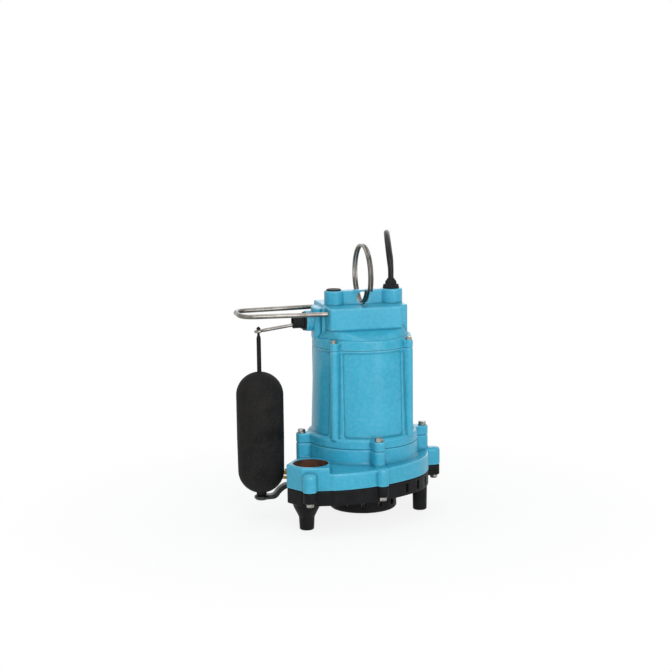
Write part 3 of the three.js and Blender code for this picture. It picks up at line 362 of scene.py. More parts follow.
def block(low, high):
    low, high = Vector(low), Vector(high)
    bpy.ops.mesh.primitive_cube_add(size=1, location=at(*((low + high) / 2)), scale=(high - low) * MM)
    bpy.ops.object.transform_apply(location=True, rotation=True, scale=True)
    return bpy.context.object


def loop_mesh(places, fill):
    """A closed outline through the places, made from a circle with as many points."""
    bpy.ops.mesh.primitive_circle_add(vertices=len(places), fill_type=fill)
    piece = bpy.context.object
    piece.location = (0, 0, 0)
    for vertex, place in zip(piece.data.vertices, places):
        vertex.co = place
    return piece


def prism(outline, z0, z1, soft=0.0, steps=4):
    """An outline pulled up from z0 to z1, with its edges rounded over by soft."""
    piece = loop_mesh([at(x, y, z0) for x, y in outline], "NGON")
    with editing(piece):
        bpy.ops.mesh.extrude_region_move(TRANSFORM_OT_translate={"value": (0, 0, (z1 - z0) * MM)})
        if soft:
            bpy.ops.mesh.bevel(offset=soft * MM, segments=steps, affect="EDGES")
    return outward(piece)


def band(inner, outer, low, high):
    """The profile of a plain ring."""
    return [(inner, low), (outer, low), (outer, high), (inner, high)]


def turned(profile, x=0.0, y=0.0, start=0.0, steps=96, lying=False):
    """A profile of (radius, height above start), spun about an upright line or a line along X."""
    places = [at(start + h, x + r, y) if lying else at(x + r, y, start + h) for r, h in profile]
    centre, axis = (at(0, x, y), (1, 0, 0)) if lying else (at(x, y, 0), (0, 0, 1))
    piece = loop_mesh(places, "NOTHING")
    with editing(piece):
        bpy.ops.mesh.spin(steps=steps, angle=math.tau, center=centre, axis=axis)
    return outward(piece)


def round_curve(places, radius, resolution):
    """A curve with a round section. Blender adds the radius of the points to the size of a curve, so
    the points carry the thickness, and the bevel is left at one."""
    bpy.ops.curve.primitive_bezier_curve_add(location=(0, 0, 0))
    shape = bpy.context.object.data
    shape.splines.clear()
    line = shape.splines.new("POLY")
    line.points.add(len(places) - 1)
    for point, place in zip(line.points, places):
        point.co, point.radius = (*place, 1), radius * MM
    shape.dimensions, shape.bevel_depth, shape.bevel_resolution = "3D", 1.0, resolution
    shape.use_fill_caps = True
    return bpy.context.object


def tube(points, radius, closed=False, resolution=5):
    """A round bar along points, made as a curve and turned into a mesh."""
    bar = round_curve([at(*p) for p in points], radius, resolution)
    bar.data.splines[0].use_cyclic_u = closed
    bpy.ops.object.convert(target="MESH")
    return outward(bpy.context.object)


# %% Joining and cutting
def fused(*pieces):
    """Pieces joined as loose shells, ready for a skin or a boolean."""
    only(*pieces)
    if len(pieces) > 1:
        bpy.ops.object.join()
    return pieces[0]


def cut(piece, *tools, solver="EXACT"):
    for tool in tools:
        apply(piece, "BOOLEAN", operation="DIFFERENCE", object=tool, solver=solver)
        bpy.data.objects.remove(tool)
    return piece


def added(piece, *tools):
    for tool in tools:
        apply(piece, "BOOLEAN", operation="UNION", object=tool, solver="EXACT")
        bpy.data.objects.remove(tool)
    return piece


def skin(piece, cell, rounds, keep=0.5):
    """One cast or moulded skin over everything in the piece: corners fill in and edges soften."""
    apply(piece, "REMESH", mode="VOXEL", voxel_size=cell * MM, use_smooth_shade=True)
    apply(piece, "SMOOTH", factor=0.5, iterations=rounds)
    apply(piece, "DECIMATE", ratio=keep)
    return piece


def mark_edges(piece, gain=2.7, rounds=7):
    """Writes where the surface is hollow (below 0.5) or proud (above 0.5) for a material to read."""
    mesh = piece.data
    count, links = len(mesh.vertices), len(mesh.edges)
    place, normal = np.empty(count * 3), np.empty(count * 3)
    mesh.vertices.foreach_get("co", place)
    mesh.vertices.foreach_get("normal", normal)
    place, normal = place.reshape(-1, 3), normal.reshape(-1, 3)
    ends = np.empty(links * 2, dtype=np.int32)
    mesh.edges.foreach_get("vertices", ends)
    first, second = ends[0::2], ends[1::2]
    step = place[second] - place[first]
    length = np.maximum(np.linalg.norm(step, axis=1), 1e-7)
    degree = np.maximum(np.bincount(ends, minlength=count), 1)
    proud = np.zeros(count)
    np.add.at(proud, first, -(normal[first] * step).sum(1) / length)
    np.add.at(proud, second, (normal[second] * step).sum(1) / length)
    proud /= degree
    for _ in range(rounds):
        near = np.bincount(first, proud[second], count) + np.bincount(second, proud[first], count)
        proud = 0.5 * proud + 0.5 * near / degree
    layer = mesh.attributes.new("edge", "FLOAT", "POINT")
    layer.data.foreach_set("value", np.clip(0.5 + gain * proud, 0, 1).astype(np.float32))


def settle(piece, name, material, slot, *replaced, body="pump_body", smooth=35):
    """Gives a finished piece its name, finish and body, and hides the nodes of the frame that it stands for."""
    only(piece)
    piece.name = piece.data.name = name
    if not piece.data.materials:
        piece.data.materials.append(material)
    bpy.ops.object.shade_smooth_by_angle(angle=math.radians(smooth))
    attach(piece, body)
    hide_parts(*replaced)
    print(f"{name}: {len(piece.data.polygons)} faces")
    return piece

# %% [markdown]
# ## The power cord
# A cord has a fixed length, so its route is settled before its looks. It rises out of the gland, bends
# over behind the cover, drops to the floor and lies there in a flat coil of two layers.
# The route is one smooth line through a few places, with a formula for the coil. A curve with a
# round section is the shortest way to give such a line its thickness.

# %% Route of the cord
CORD_R = 4.0
GLAND_X, RIB_Y, GLAND_TOP = 41.3, -4.0, 326.5
ARCH_RISE, ARCH_SPAN, ARCH_FOOT = 45.0, 105.0, GLAND_TOP + 12
COIL_X, COIL_Y, COIL_OUT, COIL_PITCH, COIL_TURNS = 62.0, 179.5, 62.0, 9.0, 6
COIL_STEPS, FOOT_BEND, RUN_IN, PLUG_MID = 48, 36.0, 10.3, 11.2
FLOOR_Z, LAYER = CORD_R + 0.2, 2 * CORD_R + 0.7
HEADING, SWAY, STEP = math.radians(74.2), 5.5, 5
away = Vector((math.cos(HEADING), math.sin(HEADING), 0))
aside = Vector((-away.y, away.x, 0))


def smoothstep(v, low, high):
    t = min(1.0, max(0.0, (v - low) / (high - low)))
    return t * t * (3 - 2 * t)


def mix(t, p, q, start, end):
    """The place at t on the straight line that is at p for start and at q for end."""
    return p * ((end - t) / (end - start)) + q * ((t - start) / (end - start))


def through(places, step):
    """Points about one step apart on a smooth line through the places."""
    ends = [2 * places[0] - places[1], *places, 2 * places[-1] - places[-2]]
    line = []
    for a, b, c, d in zip(ends, ends[1:], ends[2:], ends[3:]):
        knots = [0.0]
        for p, q in ((a, b), (b, c), (c, d)):
            knots.append(knots[-1] + max(1e-6, (q - p).length) ** 0.5)
        t0, t1, t2, t3 = knots
        count = max(1, round((c - b).length / step))
        for i in range(count):
            t = t1 + (t2 - t1) * i / count
            ab, bc, cd = mix(t, a, b, t0, t1), mix(t, b, c, t1, t2), mix(t, c, d, t2, t3)
            line.append(mix(t, mix(t, ab, bc, t0, t2), mix(t, bc, cd, t1, t3), t1, t2))
    return line + [places[-1]]


axis = Vector((GLAND_X, RIB_Y, 0))
rise = [axis + Vector((0, 0, GLAND_TOP - 8)), axis + Vector((0, 0, GLAND_TOP + 2))]
for i in range(11):
    a = i * math.pi / 10
    rise.append(axis + Vector((0, 0, ARCH_FOOT + ARCH_RISE * math.sin(a)))
                + away * (ARCH_SPAN / 2) * (1 - math.cos(a)) + aside * SWAY * math.sin(a))
drop = axis + away * ARCH_SPAN
coil_middle = Vector((COIL_X, COIL_Y, 0))
reach = coil_middle - drop
coil_start = math.atan2(reach.y, reach.x) + math.asin(COIL_OUT / reach.length) + math.pi / 2


def coil_place(turns):
    half = COIL_TURNS / 2
    radius = COIL_OUT - COIL_PITCH * (half - abs(turns - half))
    lift = smoothstep(turns, half - 0.25, half + 0.25)
    a = coil_start - turns * math.tau
    return coil_middle + Vector((radius * math.cos(a), radius * math.sin(a), FLOOR_Z + lift * LAYER))


into = (coil_place(0.001) - coil_place(0)).normalized()
out = (coil_place(COIL_TURNS) - coil_place(COIL_TURNS - 0.001)).normalized()
first = coil_place(0) - into * 2 * CORD_R
for z in (ARCH_FOOT - 60, ARCH_FOOT - 130, ARCH_FOOT - 200, 80):
    rise.append(drop + Vector((0, 0, z)))
landing = first - into * RUN_IN
to_landing = Vector((landing.x - drop.x, landing.y - drop.y, 0)).normalized()
for i in range(4):
    a = math.radians(22.5 * i)
    bend = Vector((0, 0, FLOOR_Z + FOOT_BEND * (1 - math.sin(a))))
    rise.append(drop + to_landing * FOOT_BEND * (1 - math.cos(a)) + bend)
rise += [landing, first - into * 0.3]
loops = [coil_place(i / COIL_STEPS) for i in range(COIL_TURNS * COIL_STEPS + 1)]
last = loops[-1] + out * 2 * CORD_R
tail = [last + out * 0.3, last + out * 12, last + out * 36, last + out * 50]
tail[2].z, tail[3].z = PLUG_MID + 0.2, PLUG_MID
route = through(rise, STEP) + [first] + loops + through([last] + tail, STEP)
route = [at(*p) for p in route]

# %% Cord as a curve
cord = round_curve(route, CORD_R, resolution=3)
cord.name = "cord_jacket"
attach(cord, "pump_body")
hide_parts("power_cord", "cord_coil", "cord_tail")

# %% [markdown]
# ## Blue enamel over cast iron
# The castings are sprayed with one light blue enamel. It is not one flat colour: proud edges are paler,
# hollow corners and creases carry a painted shade that darkens them to a deep blue, and the sand-cast skin
# under it leaves soft dimples. A material painted by hand would do, but noise in the object's own
# coordinates gives the same look from every side. The edge layer that mark_edges writes tells the shader where
# it is.

# %% Enamel
def enamel(name, colour, deep, light):
    material, tree, shader, place = start_material(name)
    edge = wire(tree, "ShaderNodeAttribute", {"attribute_name": "edge"}).outputs["Fac"]
    cloud = spread(tree, grain(tree, place, 38, 4), 0.35, 0.65, 0.0, 0.55)
    body = between(tree, cloud, colour, deep)
    mist = spread(tree, grain(tree, place, 5, 5), 0.42, 0.62, 0.0, 0.22)
    body = between(tree, mist, body, light)
    # painted shade: where the edge layer says hollow, the colour darkens to a deep blue as if in shadow
    hollow = spread(tree, edge, 0.48, 0.34, 0.0, 0.85)
    body = between(tree, hollow, body, "0a7893")
    proud = spread(tree, edge, 0.56, 0.80, 0.0, 0.22)
    body = between(tree, proud, body, "84cde0")
    dress(tree, shader, body, spread(tree, grain(tree, place, 3, 4), 0.3, 0.7, 0.38, 0.5), shine=0.25)
    shader.inputs["Coat Weight"].default_value = 0.35
    shader.inputs["Coat Roughness"].default_value = 0.2
    bumps(tree, shader, (grain(tree, place, 7, 2), 0.35, 0.35), (grain(tree, place, 1.3, 3), 0.09, 0.4))
    return material


blue_enamel = enamel("blue_enamel", "38a8c7", "259ab7", "64bad3")


def raw_iron():
    """The unpainted cast iron inside the discharge port, brown with a light film of rust."""
    material, tree, shader, place = start_material("raw_iron")
    rust = spread(tree, grain(tree, place, 6, 6), 0.38, 0.62, 0, 1)
    body = between(tree, rust, "3b2a22", "6a4029")
    dress(tree, shader, body, spread(tree, rust, 0, 1, 0.6, 0.9), metal=0.3)
    bumps(tree, shader, (grain(tree, place, 1.1, 5), 0.2, 0.6))
    return material


bare_cast = raw_iron()

# %% [markdown]
# ## Black plastic, rubber, float and steel
# Four more kinds of finish cover the rest of what shows. Moulded plastic is satin with faint flow
# marks. Rubber is duller and a little grey. The float is a foamed shell whose surface is mottled and
# quite matt. The rods are steel with soft lines along them; the noise is stretched along the rod.

# %% Plastic, rubber and float
def moulded(name, dark, pale, low_rough, high_rough, lump, pit, shine):
    material, tree, shader, place = start_material(name)
    cloud = spread(tree, grain(tree, place, lump, 5), 0.36, 0.66, 0, 1)
    rough = spread(tree, grain(tree, place, lump / 3, 4), 0.3, 0.7, low_rough, high_rough)
    dress(tree, shader, between(tree, cloud, dark, pale), rough, shine=shine)
    bumps(tree, shader, (grain(tree, place, lump / 4, 3), 0.12, 0.3), (grain(tree, place, pit, 3), 0.08, 0.5))
    return material


satin_plastic = moulded("satin_plastic", "0f0f10", "18181a", 0.42, 0.58, 14, 0.7, 0.12)
dull_rubber = moulded("dull_rubber", "161617", "222224", 0.52, 0.72, 8, 0.5, 0.16)
guide_plastic = moulded("strap_plastic", "161617", "202022", 0.3, 0.42, 14, 0.7, 0.5)
jacket = moulded("cord_vinyl", "0e0e0f", "171718", 0.34, 0.5, 9, 0.6, 0.25)
cord.data.materials.append(jacket)


def foamed():
    material, tree, shader, place = start_material("foamed_float")
    cloud = spread(tree, grain(tree, place, 22, 6), 0.36, 0.64, 0, 1)
    speck = spread(tree, grain(tree, place, 1.6, 4), 0.52, 0.68, 0, 0.35)
    body = between(tree, cloud, "161515", "272524")
    body = between(tree, speck, body, "403d3b")
    dress(tree, shader, body, spread(tree, cloud, 0, 1, 0.72, 0.9), shine=0.13)
    bumps(tree, shader, (grain(tree, place, 11, 3), 0.4, 0.3), (grain(tree, place, 1.2, 4), 0.14, 0.6))
    return material


float_finish = foamed()


# %% Steel
def steel_finish(name, dark, pale, low_rough, high_rough, cloud_size, stretch=(1, 1, 1)):
    material, tree, shader, place = start_material(name)
    cloud = spread(tree, grain(tree, place, cloud_size, 2), 0.38, 0.62, 0, 1)
    lines = grain(tree, place, 6, 2, stretch)
    rough = spread(tree, lines, 0.3, 0.7, low_rough, high_rough)
    dress(tree, shader, between(tree, cloud, dark, pale), rough, metal=1.0)
    bumps(tree, shader, (lines, 0.006, 0.2))
    return material


drawn_rod = steel_finish("drawn_rod", "6f6c67", "8f8c86", 0.26, 0.32, 18, (0.05, 1, 1))
spring_wire = steel_finish("spring_wire", "55524e", "8b8883", 0.28, 0.36, 24)
screw_steel = steel_finish("screw_steel", "7d7a74", "b3b0a9", 0.24, 0.38, 4)
machined = steel_finish("machined_steel", "8b8882", "b2afa8", 0.2, 0.32, 9, (1, 1, 0.05))
print("finishes:", len(bpy.data.materials))

# %% [markdown]
# ## The motor housing
# On the real pump this is a tapered iron tube with a bolted foot flange, a round column for each long
# cover screw, and a shallow sunk panel between the columns. Modelling every blend by hand would be slow,
# so the tube, flange, columns and lugs are laid through each other as rough solids. A voxel remesh then
# gives them one skin, whose corners fill in and whose edges soften as in a sand mould. The bore is cut
# afterwards, because a machined hole keeps its sharp rim.

# %% Motor housing
HOUSING_TOP_R, HOUSING_FOOT_R, BORE = 68.5, 72.8, 63.0
FLANGE_R, FLANGE_CIRCLE, LUG_R = 77.0, 87.0, 7.9
COVER_CIRCLE, COLUMN_R = 74.5, 5.3
PANEL_WIDTH, PANEL_DEPTH, PANEL_CORNER = 84.0, 1.6, 4.0
PANEL_Z, PANEL_TOP_Z, COVE = FLANGE_TOP_Z + 1.8, COVER_Z - 2, 8.0
QUARTERS, DIAGONALS = (0, 90, 180, 270), (45, 135, 225, 315)
TAPER = (HOUSING_TOP_R - HOUSING_FOOT_R) / (COVER_Z - FLANGE_TOP_Z)


def wall_radius(z):
    return HOUSING_FOOT_R + TAPER * (z - FLANGE_TOP_Z)


def turned_by(piece, degrees, axis):
    """Turns a piece about the shaft. With no window the operator turns the other way, hence the minus."""
    with editing(piece):
        bpy.ops.transform.rotate(value=-math.radians(degrees), orient_axis=axis, center_override=SHAFT)
    return piece


def sunk_panel(degrees):
    """The slab that is taken away for one panel: deep outside, stopping just under the tapered wall."""
    half = PANEL_WIDTH / 2
    slab = prism(rounded(-half, half, PANEL_Z, PANEL_TOP_Z, PANEL_CORNER), 40, 100)
    turned_by(slab, 90, "X")
    core = turned([(0, FLANGE_Z), (wall_radius(FLANGE_Z) - PANEL_DEPTH, FLANGE_Z),
                   (wall_radius(COVER_Z + 5) - PANEL_DEPTH, COVER_Z + 5), (0, COVER_Z + 5)])
    cut(slab, core)
    return turned_by(slab, degrees + 90, "Z")


barrel = turned([(0, FLANGE_Z), (FLANGE_R, FLANGE_Z), (FLANGE_R, FLANGE_TOP_Z - 0.8),
                 (FLANGE_R - 0.8, FLANGE_TOP_Z), (HOUSING_FOOT_R + 1.2, FLANGE_TOP_Z + 2),
                 (wall_radius(FLANGE_TOP_Z + COVE), FLANGE_TOP_Z + COVE), (HOUSING_TOP_R, COVER_Z),
                 (0, COVER_Z)], steps=144)
cut(barrel, *[sunk_panel(a) for a in QUARTERS])
FLANGE_LUG, COLUMN = (FLANGE_CIRCLE, LUG_R, 2.5), (COVER_CIRCLE, COLUMN_R, 0.8)
flange_lugs = lugs(QUARTERS, BORE + 6, *FLANGE_LUG, FLANGE_Z, FLANGE_TOP_Z + 1)
columns = lugs(DIAGONALS, BORE + 1, *COLUMN, FLANGE_TOP_Z - 1, COVER_Z)
housing = skin(fused(barrel, *flange_lugs, *columns), cell=1.0, rounds=5, keep=0.45)
cut(housing, post(0, 0, FLANGE_Z - 2, COVER_Z + 2, BORE, sides=128), solver="FAST")
mark_edges(housing)
settle(housing, "motor_casting", blue_enamel, "painted_castings", "motor_housing")

# %% [markdown]
# ## The top cover
# The cover starts as a round skirt on the housing and grows into a square box that holds the
# capacitor and the switch. The blend between circle and square is the convex hull of two outlines,
# which the hull operator stretches in one step. A side box, the switch chamber with its rounded ribs,
# the neck, four ears and the rib with its two bosses are laid through it and cast into one skin.

# %% Top cover
BOX_LEFT, BOX_RIGHT, BOX_FRONT, BOX_BACK = -56.0, 46.0, -48.0, 50.0
SIDE_RIGHT, CHAMBER_LEFT, CHAMBER_R = 57.0, -70.0, HOUSING_TOP_R + 1
LEVER_Y, NECK_R, NECK_BORE, NECK_END_X = 4.0, 14.0, 11.3, -79.0
NECK_Z = BOX_Z + 7.5
RIB_HALF, PLUG_X, PLUG_BOSS_R, GLAND_BOSS_R = 7.0, -40.0, 13.2, 15.7
RING_HOLE_X, RING_HOLE_Z, RING_HOLE_R = -0.8, BOX_TOP_Z + 8.6, 8.4
BAR_Z, BAR_R, BAR_SPAN = BOX_TOP_Z - 8.5, 3.175, 38.3
EAR_SCREW_R = 4.3


def stretched(outline_a, z_a, outline_b, z_b):
    """The convex hull of two outlines at two heights."""
    piece = fused(prism(outline_a, z_a - 0.5, z_a), prism(outline_b, z_b, z_b + 0.5))
    with editing(piece):
        bpy.ops.mesh.convex_hull()
    return outward(piece)


skirt = turned([(0, COVER_Z + 0.3), (HOUSING_TOP_R + 0.3, COVER_Z + 0.3), (HOUSING_TOP_R - 0.3, EAR_TOP_Z + 2.2),
                (0, EAR_TOP_Z + 2.2)], steps=144)
shoulder = stretched(arc(0, 0, HOUSING_TOP_R - 2.2, 0, 357, 119), EAR_TOP_Z + 2,
                     rounded(BOX_LEFT + 3, BOX_RIGHT + 2, BOX_FRONT + 6.5, BOX_BACK - 3, 4), BOX_Z + 0.5)
main_box = prism(rounded(BOX_LEFT, BOX_RIGHT, BOX_FRONT, BOX_BACK, 4), BOX_Z, BOX_TOP_Z, soft=1.5)
side_outline = rounded(BOX_RIGHT - 12, SIDE_RIGHT, BOX_FRONT + 14, BOX_BACK - 4, 4)
side_box = prism(side_outline, EAR_TOP_Z, BOX_TOP_Z, soft=1.5)
chamber_outline = [*arc(0, 0, CHAMBER_R, 157.5, 187.5, 8), (BOX_LEFT + 8, LEVER_Y - 13),
                   (BOX_LEFT + 8, LEVER_Y + 22)]
chamber = prism(chamber_outline, EAR_TOP_Z, BOX_TOP_Z - 3, soft=1.5)
flutes = [post(BOX_LEFT - 7, LEVER_Y - 11, EAR_TOP_Z, BOX_TOP_Z - 3.5, 6),
          post(BOX_LEFT - 1, LEVER_Y - 23, EAR_TOP_Z, BOX_TOP_Z - 1.5, 4)]
neck = cylinder((NECK_END_X, LEVER_Y, NECK_Z), (CHAMBER_LEFT + 6, LEVER_Y, NECK_Z), NECK_R)
ears = lugs(DIAGONALS, BORE - 7, *COLUMN, COVER_Z + 0.3, EAR_TOP_Z)
rib = block((PLUG_X, RIB_Y - RIB_HALF, BOX_TOP_Z - 2), (GLAND_X, RIB_Y + RIB_HALF, BOSS_TOP_Z - 0.4))
bosses = [prism(arc(x, RIB_Y, r, 0, 352, 44), BOX_TOP_Z - 4, BOSS_TOP_Z, soft=1.0)
          for x, r in ((PLUG_X, PLUG_BOSS_R), (GLAND_X, GLAND_BOSS_R))]
cover = fused(skirt, shoulder, main_box, side_box, chamber, *flutes, neck, *ears, rib, *bosses)
skin(cover, cell=0.9, rounds=4, keep=0.42)
cavity = turned([(0, COVER_Z - 1), (BORE - 3, COVER_Z - 1), (BORE - 3, EAR_TOP_Z - 2), (BORE - 25, BOX_Z - 4),
                 (0, BOX_Z - 4)])
ring_hole = cylinder((RING_HOLE_X, RIB_Y - 12, RING_HOLE_Z), (RING_HOLE_X, RIB_Y + 12, RING_HOLE_Z), RING_HOLE_R)
sockets = []
for side in (-1, 1):
    mouth = Vector((BOX_LEFT, LEVER_Y + side * BAR_SPAN, BAR_Z))
    sockets.append(cylinder(mouth - Vector((10, 0, 0)), mouth + Vector((11, 0, 0)), BAR_R + 0.45, sides=32))
seats = [post(*on_circle(COVER_CIRCLE, a), EAR_TOP_Z + 0.05, EAR_TOP_Z + 9, EAR_SCREW_R + 1.1, sides=40)
         for a in DIAGONALS]
bore = cylinder((NECK_END_X - 2, LEVER_Y, NECK_Z), (CHAMBER_LEFT + 5, LEVER_Y, NECK_Z), NECK_BORE)
cut(cover, cavity, ring_hole, *sockets, *seats, bore, solver="FAST")
mark_edges(cover)
settle(cover, "cover_casting", blue_enamel, "painted_castings", "top_cover")

# %% [markdown]
# ## The volute casing
# The spiral chamber grows towards the discharge: its radius rises with the square of the angle from
# where the growth starts. An upright block at the end holds the port, and a collar lifts the motor
# above the roof. The outlines are prisms again, cast into one skin with the screw bosses. The port is
# bored afterwards, and its raw wall gets the colour of bare iron.

# %% Volute casing
VOLUTE_R, GROW_FROM, GROW_TO, GROW_RATE = 92.5, -55, -122, 0.0091
PORT_X, PORT_Y, PORT_R = -93.0, -78.0, 24.1
COLLAR = [(-34, 2), (-18, -27), (18, -35), (27, 3), (21, 26), (5, 34), (-14, 32)]
ROOT = [(-34, 2), (-18, -27), (26, -35), (33, 8), (33, 58), (2, 60), (-14, 32)]
BASE_CIRCLE, BOSS_R = VOLUTE_R + 11.5, 8.7
CORNER_BOSS, CORNER_R = (-102.5, -111.0), 9.5
BASE_SCREWS = (0, 90, 270)
HUB_BORE, VOLUTE_WALL = 20.0, 6.5


def spiral(shrink=0.0):
    outline = []
    for a in range(GROW_TO, GROW_TO + 351, 2):
        grown = GROW_RATE * max(0, GROW_FROM - a) ** 2
        outline.append(on_circle(VOLUTE_R + grown - shrink, a))
    return outline


def at_port(corners):
    return [(PORT_X + x, PORT_Y + y) for x, y in corners]


def softened(corners, cut_back=5.0, steps=5):
    """An outline whose corners are rounded: each is swapped for a short curve."""
    line = [Vector(p) for p in corners]
    smooth = []
    for before, corner, after in zip(line[-1:] + line[:-1], line, line[1:] + line[:1]):
        start = corner + (before - corner).normalized() * cut_back
        end = corner + (after - corner).normalized() * cut_back
        smooth += [tuple(p) for p in swing(start, corner, end, steps)]
    return smooth


collar_outline = softened(at_port(COLLAR), 4)
body = prism(spiral(), VOLUTE_Z, ROOF_Z, soft=2.2)
root = prism(softened(at_port(ROOT), 4), VOLUTE_Z, ROOF_Z, soft=2.2)
tower = prism(collar_outline, VOLUTE_Z + 4, BLOCK_TOP_Z, soft=1.2)
tower_foot = stretched(softened(inset(at_port(COLLAR), -4), 4), ROOF_Z, collar_outline, ROOF_Z + 3.6)
neck_ring = turned([(0, ROOF_Z - 1), (FLANGE_R + 3, ROOF_Z - 1), (FLANGE_R + 0.6, ROOF_Z + 1.4),
                    (FLANGE_R, ROOF_Z + 4), (FLANGE_R, FLANGE_Z - 0.3), (0, FLANGE_Z - 0.3)], steps=144)
posts = lugs(QUARTERS, BORE + 6, *FLANGE_LUG, VOLUTE_Z + 4, FLANGE_Z - 0.3)
boss_feet = lugs(BASE_SCREWS, VOLUTE_R - 6, BASE_CIRCLE, BOSS_R, 1.5, VOLUTE_Z, VOLUTE_Z + 14)
boss_heads = lugs(BASE_SCREWS, VOLUTE_R - 6, BASE_CIRCLE, BOSS_R, 1.5, VOLUTE_Z + 6, ROOF_Z + 2, soft=5, steps=6)
corner = prism(arc(*CORNER_BOSS, CORNER_R, 0, 350, 35), VOLUTE_Z, ROOF_Z + 2.6, soft=6, steps=7)
volute = fused(body, root, tower, tower_foot, neck_ring, *posts, *boss_feet, *boss_heads, corner)
skin(volute, cell=1.1, rounds=5, keep=0.42)
chamber = prism(spiral(VOLUTE_WALL), VOLUTE_Z - 1, ROOF_Z - 6)
chamber_root = prism(inset(at_port(ROOT), VOLUTE_WALL - 1), VOLUTE_Z - 1, ROOF_Z - 6.02)
hub_bore = post(0, 0, ROOF_Z - 8, FLANGE_Z + 1, HUB_BORE)
port = post(PORT_X, PORT_Y, ROOF_Z - 8, BLOCK_TOP_Z + 1, PORT_R, sides=96)
cut(volute, chamber, chamber_root, port, hub_bore, solver="FAST")
mark_edges(volute)

volute.data.materials.append(blue_enamel)
volute.data.materials.append(bare_cast)
port_line = at(PORT_X, PORT_Y, 0).xy
raw_faces = 0
for face in volute.data.polygons:
    in_port = (face.center.xy - port_line).length < (PORT_R + 0.5) * MM
    if in_port and face.center.z < (BLOCK_TOP_Z - 0.5) * MM or face.normal.z < -0.9:
        face.material_index = 1
        raw_faces += 1
settle(volute, "volute_body", blue_enamel, "painted_castings", "volute_casing")
print("faces left as bare iron:", raw_faces)

# %% [markdown]
# ## The base plate
# One black moulding closes the volute from below. It has a skirt with strainer slots, three feet, a
# boss for each screw and the suction eye in its middle. A moulding has even walls and small radii, so
# the hollow is cut before the skin is made, and the cells of the skin are fine.

# %% Base plate
SKIRT_Z, SKIRT_WALL, PLATE = PLATE_TOP_Z - 20.7, 3.5, 4.0
PLATE_Z = PLATE_TOP_Z - PLATE
BOSS_Z = SKIRT_Z + 6
FOOT_R, FOOT_PLACES = 9.8, [(-99.5, -78), (77.3, -20), (-28, 74)]
SUCTION_R, GUARD_R, SLOT = 27.0, 47.0, 5.0
SCREW_SINK, SCREW_CLEAR, SLOT_ANGLES = 7.3, 7, (-64, 161, 15)
WEB_ANGLES, BROAD_WEB = (-40, 30, 65, 130, 195), -58
ARM_X, ARM_PAD_Z, ARM_THICK = -(VOLUTE_R + 7.5), SKIRT_Z + 2.2, 6.0
base_root = inset(at_port(ROOT), 0.6)

shell = added(prism(spiral(0.6), SKIRT_Z, PLATE_TOP_Z),
              prism(softened(base_root, 4), SKIRT_Z + 0.02, PLATE_TOP_Z - 0.02))
hollow = prism(spiral(0.6 + SKIRT_WALL), SKIRT_Z - 3, PLATE_Z)
hollow_root = prism(inset(base_root, SKIRT_WALL), SKIRT_Z - 3, PLATE_Z - 0.03)
slots = []
for a in range(*SLOT_ANGLES):
    if all(abs((a - s + 540) % 360 - 180) >= SCREW_CLEAR for s in BASE_SCREWS):
        slot = block((VOLUTE_R - 12, -SLOT / 2, SKIRT_Z + 4), (VOLUTE_R + 4, SLOT / 2, PLATE_Z))
        slots.append(turned_by(slot, a, "Z"))
cut(shell, hollow, hollow_root, *slots)


def foot(x, y, flared):
    top = PLATE_TOP_Z - 1
    upper = [(FOOT_R + 0.9, 18), (FOOT_R + 7.4, 31), (FOOT_R + 9.9, SKIRT_Z), (FOOT_R + 9.9, top)] if flared \
        else [(FOOT_R + 0.9, top)]
    sole = [(0, 0), (FOOT_R - 1.4, 0), (FOOT_R - 0.4, 0.4), (FOOT_R, 1.4)]
    return turned([*sole, *upper, (0, top)], x, y, steps=64)


feet = [foot(x, y, i == 0) for i, (x, y) in enumerate(FOOT_PLACES)]
bosses = lugs(BASE_SCREWS, VOLUTE_R - 6, BASE_CIRCLE, BOSS_R - 0.4, 0.0, BOSS_Z, PLATE_TOP_Z)
corner = prism(arc(*CORNER_BOSS, CORNER_R - 0.4, 0, 350, 35), BOSS_Z, PLATE_TOP_Z)
collar = turned(band(GUARD_R + 0.4, GUARD_R + 3.4, PLATE_Z - 9, PLATE_Z + 1))
webs = [turned_by(block((GUARD_R + 2, -1.5, PLATE_Z - 9), (VOLUTE_R - 2, 1.5, PLATE_Z + 1)), a, "Z")
        for a in WEB_ANGLES]
broad_web = block((GUARD_R + 2, -3, SKIRT_Z + 0.5), (VOLUTE_R - 2, 3, PLATE_Z + 1))
webs.append(turned_by(broad_web, BROAD_WEB, "Z"))
pad = block((ARM_X - 7, LEVER_Y - 8, ARM_PAD_Z + ARM_THICK + 0.3), (4 - VOLUTE_R, LEVER_Y + 8, PLATE_TOP_Z))
base = skin(fused(shell, *feet, *bosses, corner, collar, *webs, pad), cell=0.95, rounds=3, keep=0.3)
screw_spots = [on_circle(BASE_CIRCLE, a) for a in BASE_SCREWS] + [CORNER_BOSS]
sinks = [post(x, y, SKIRT_Z - 6, BOSS_Z, SCREW_SINK, sides=32) for x, y in screw_spots]
cut(base, post(0, 0, PLATE_Z - 12, PLATE_TOP_Z + 1, SUCTION_R), fused(*sinks), solver="FAST")
settle(base, "base_moulding", satin_plastic, "black_plastic", "base_plate")

# %% [markdown]
# ## The inlet guard
# A slotted cup under the suction eye keeps stones out. It could be copied from the frame, but its rim
# and slots would stay sharp. A turned cup with round-ended slots, put through the same skin as the
# base, looks moulded.

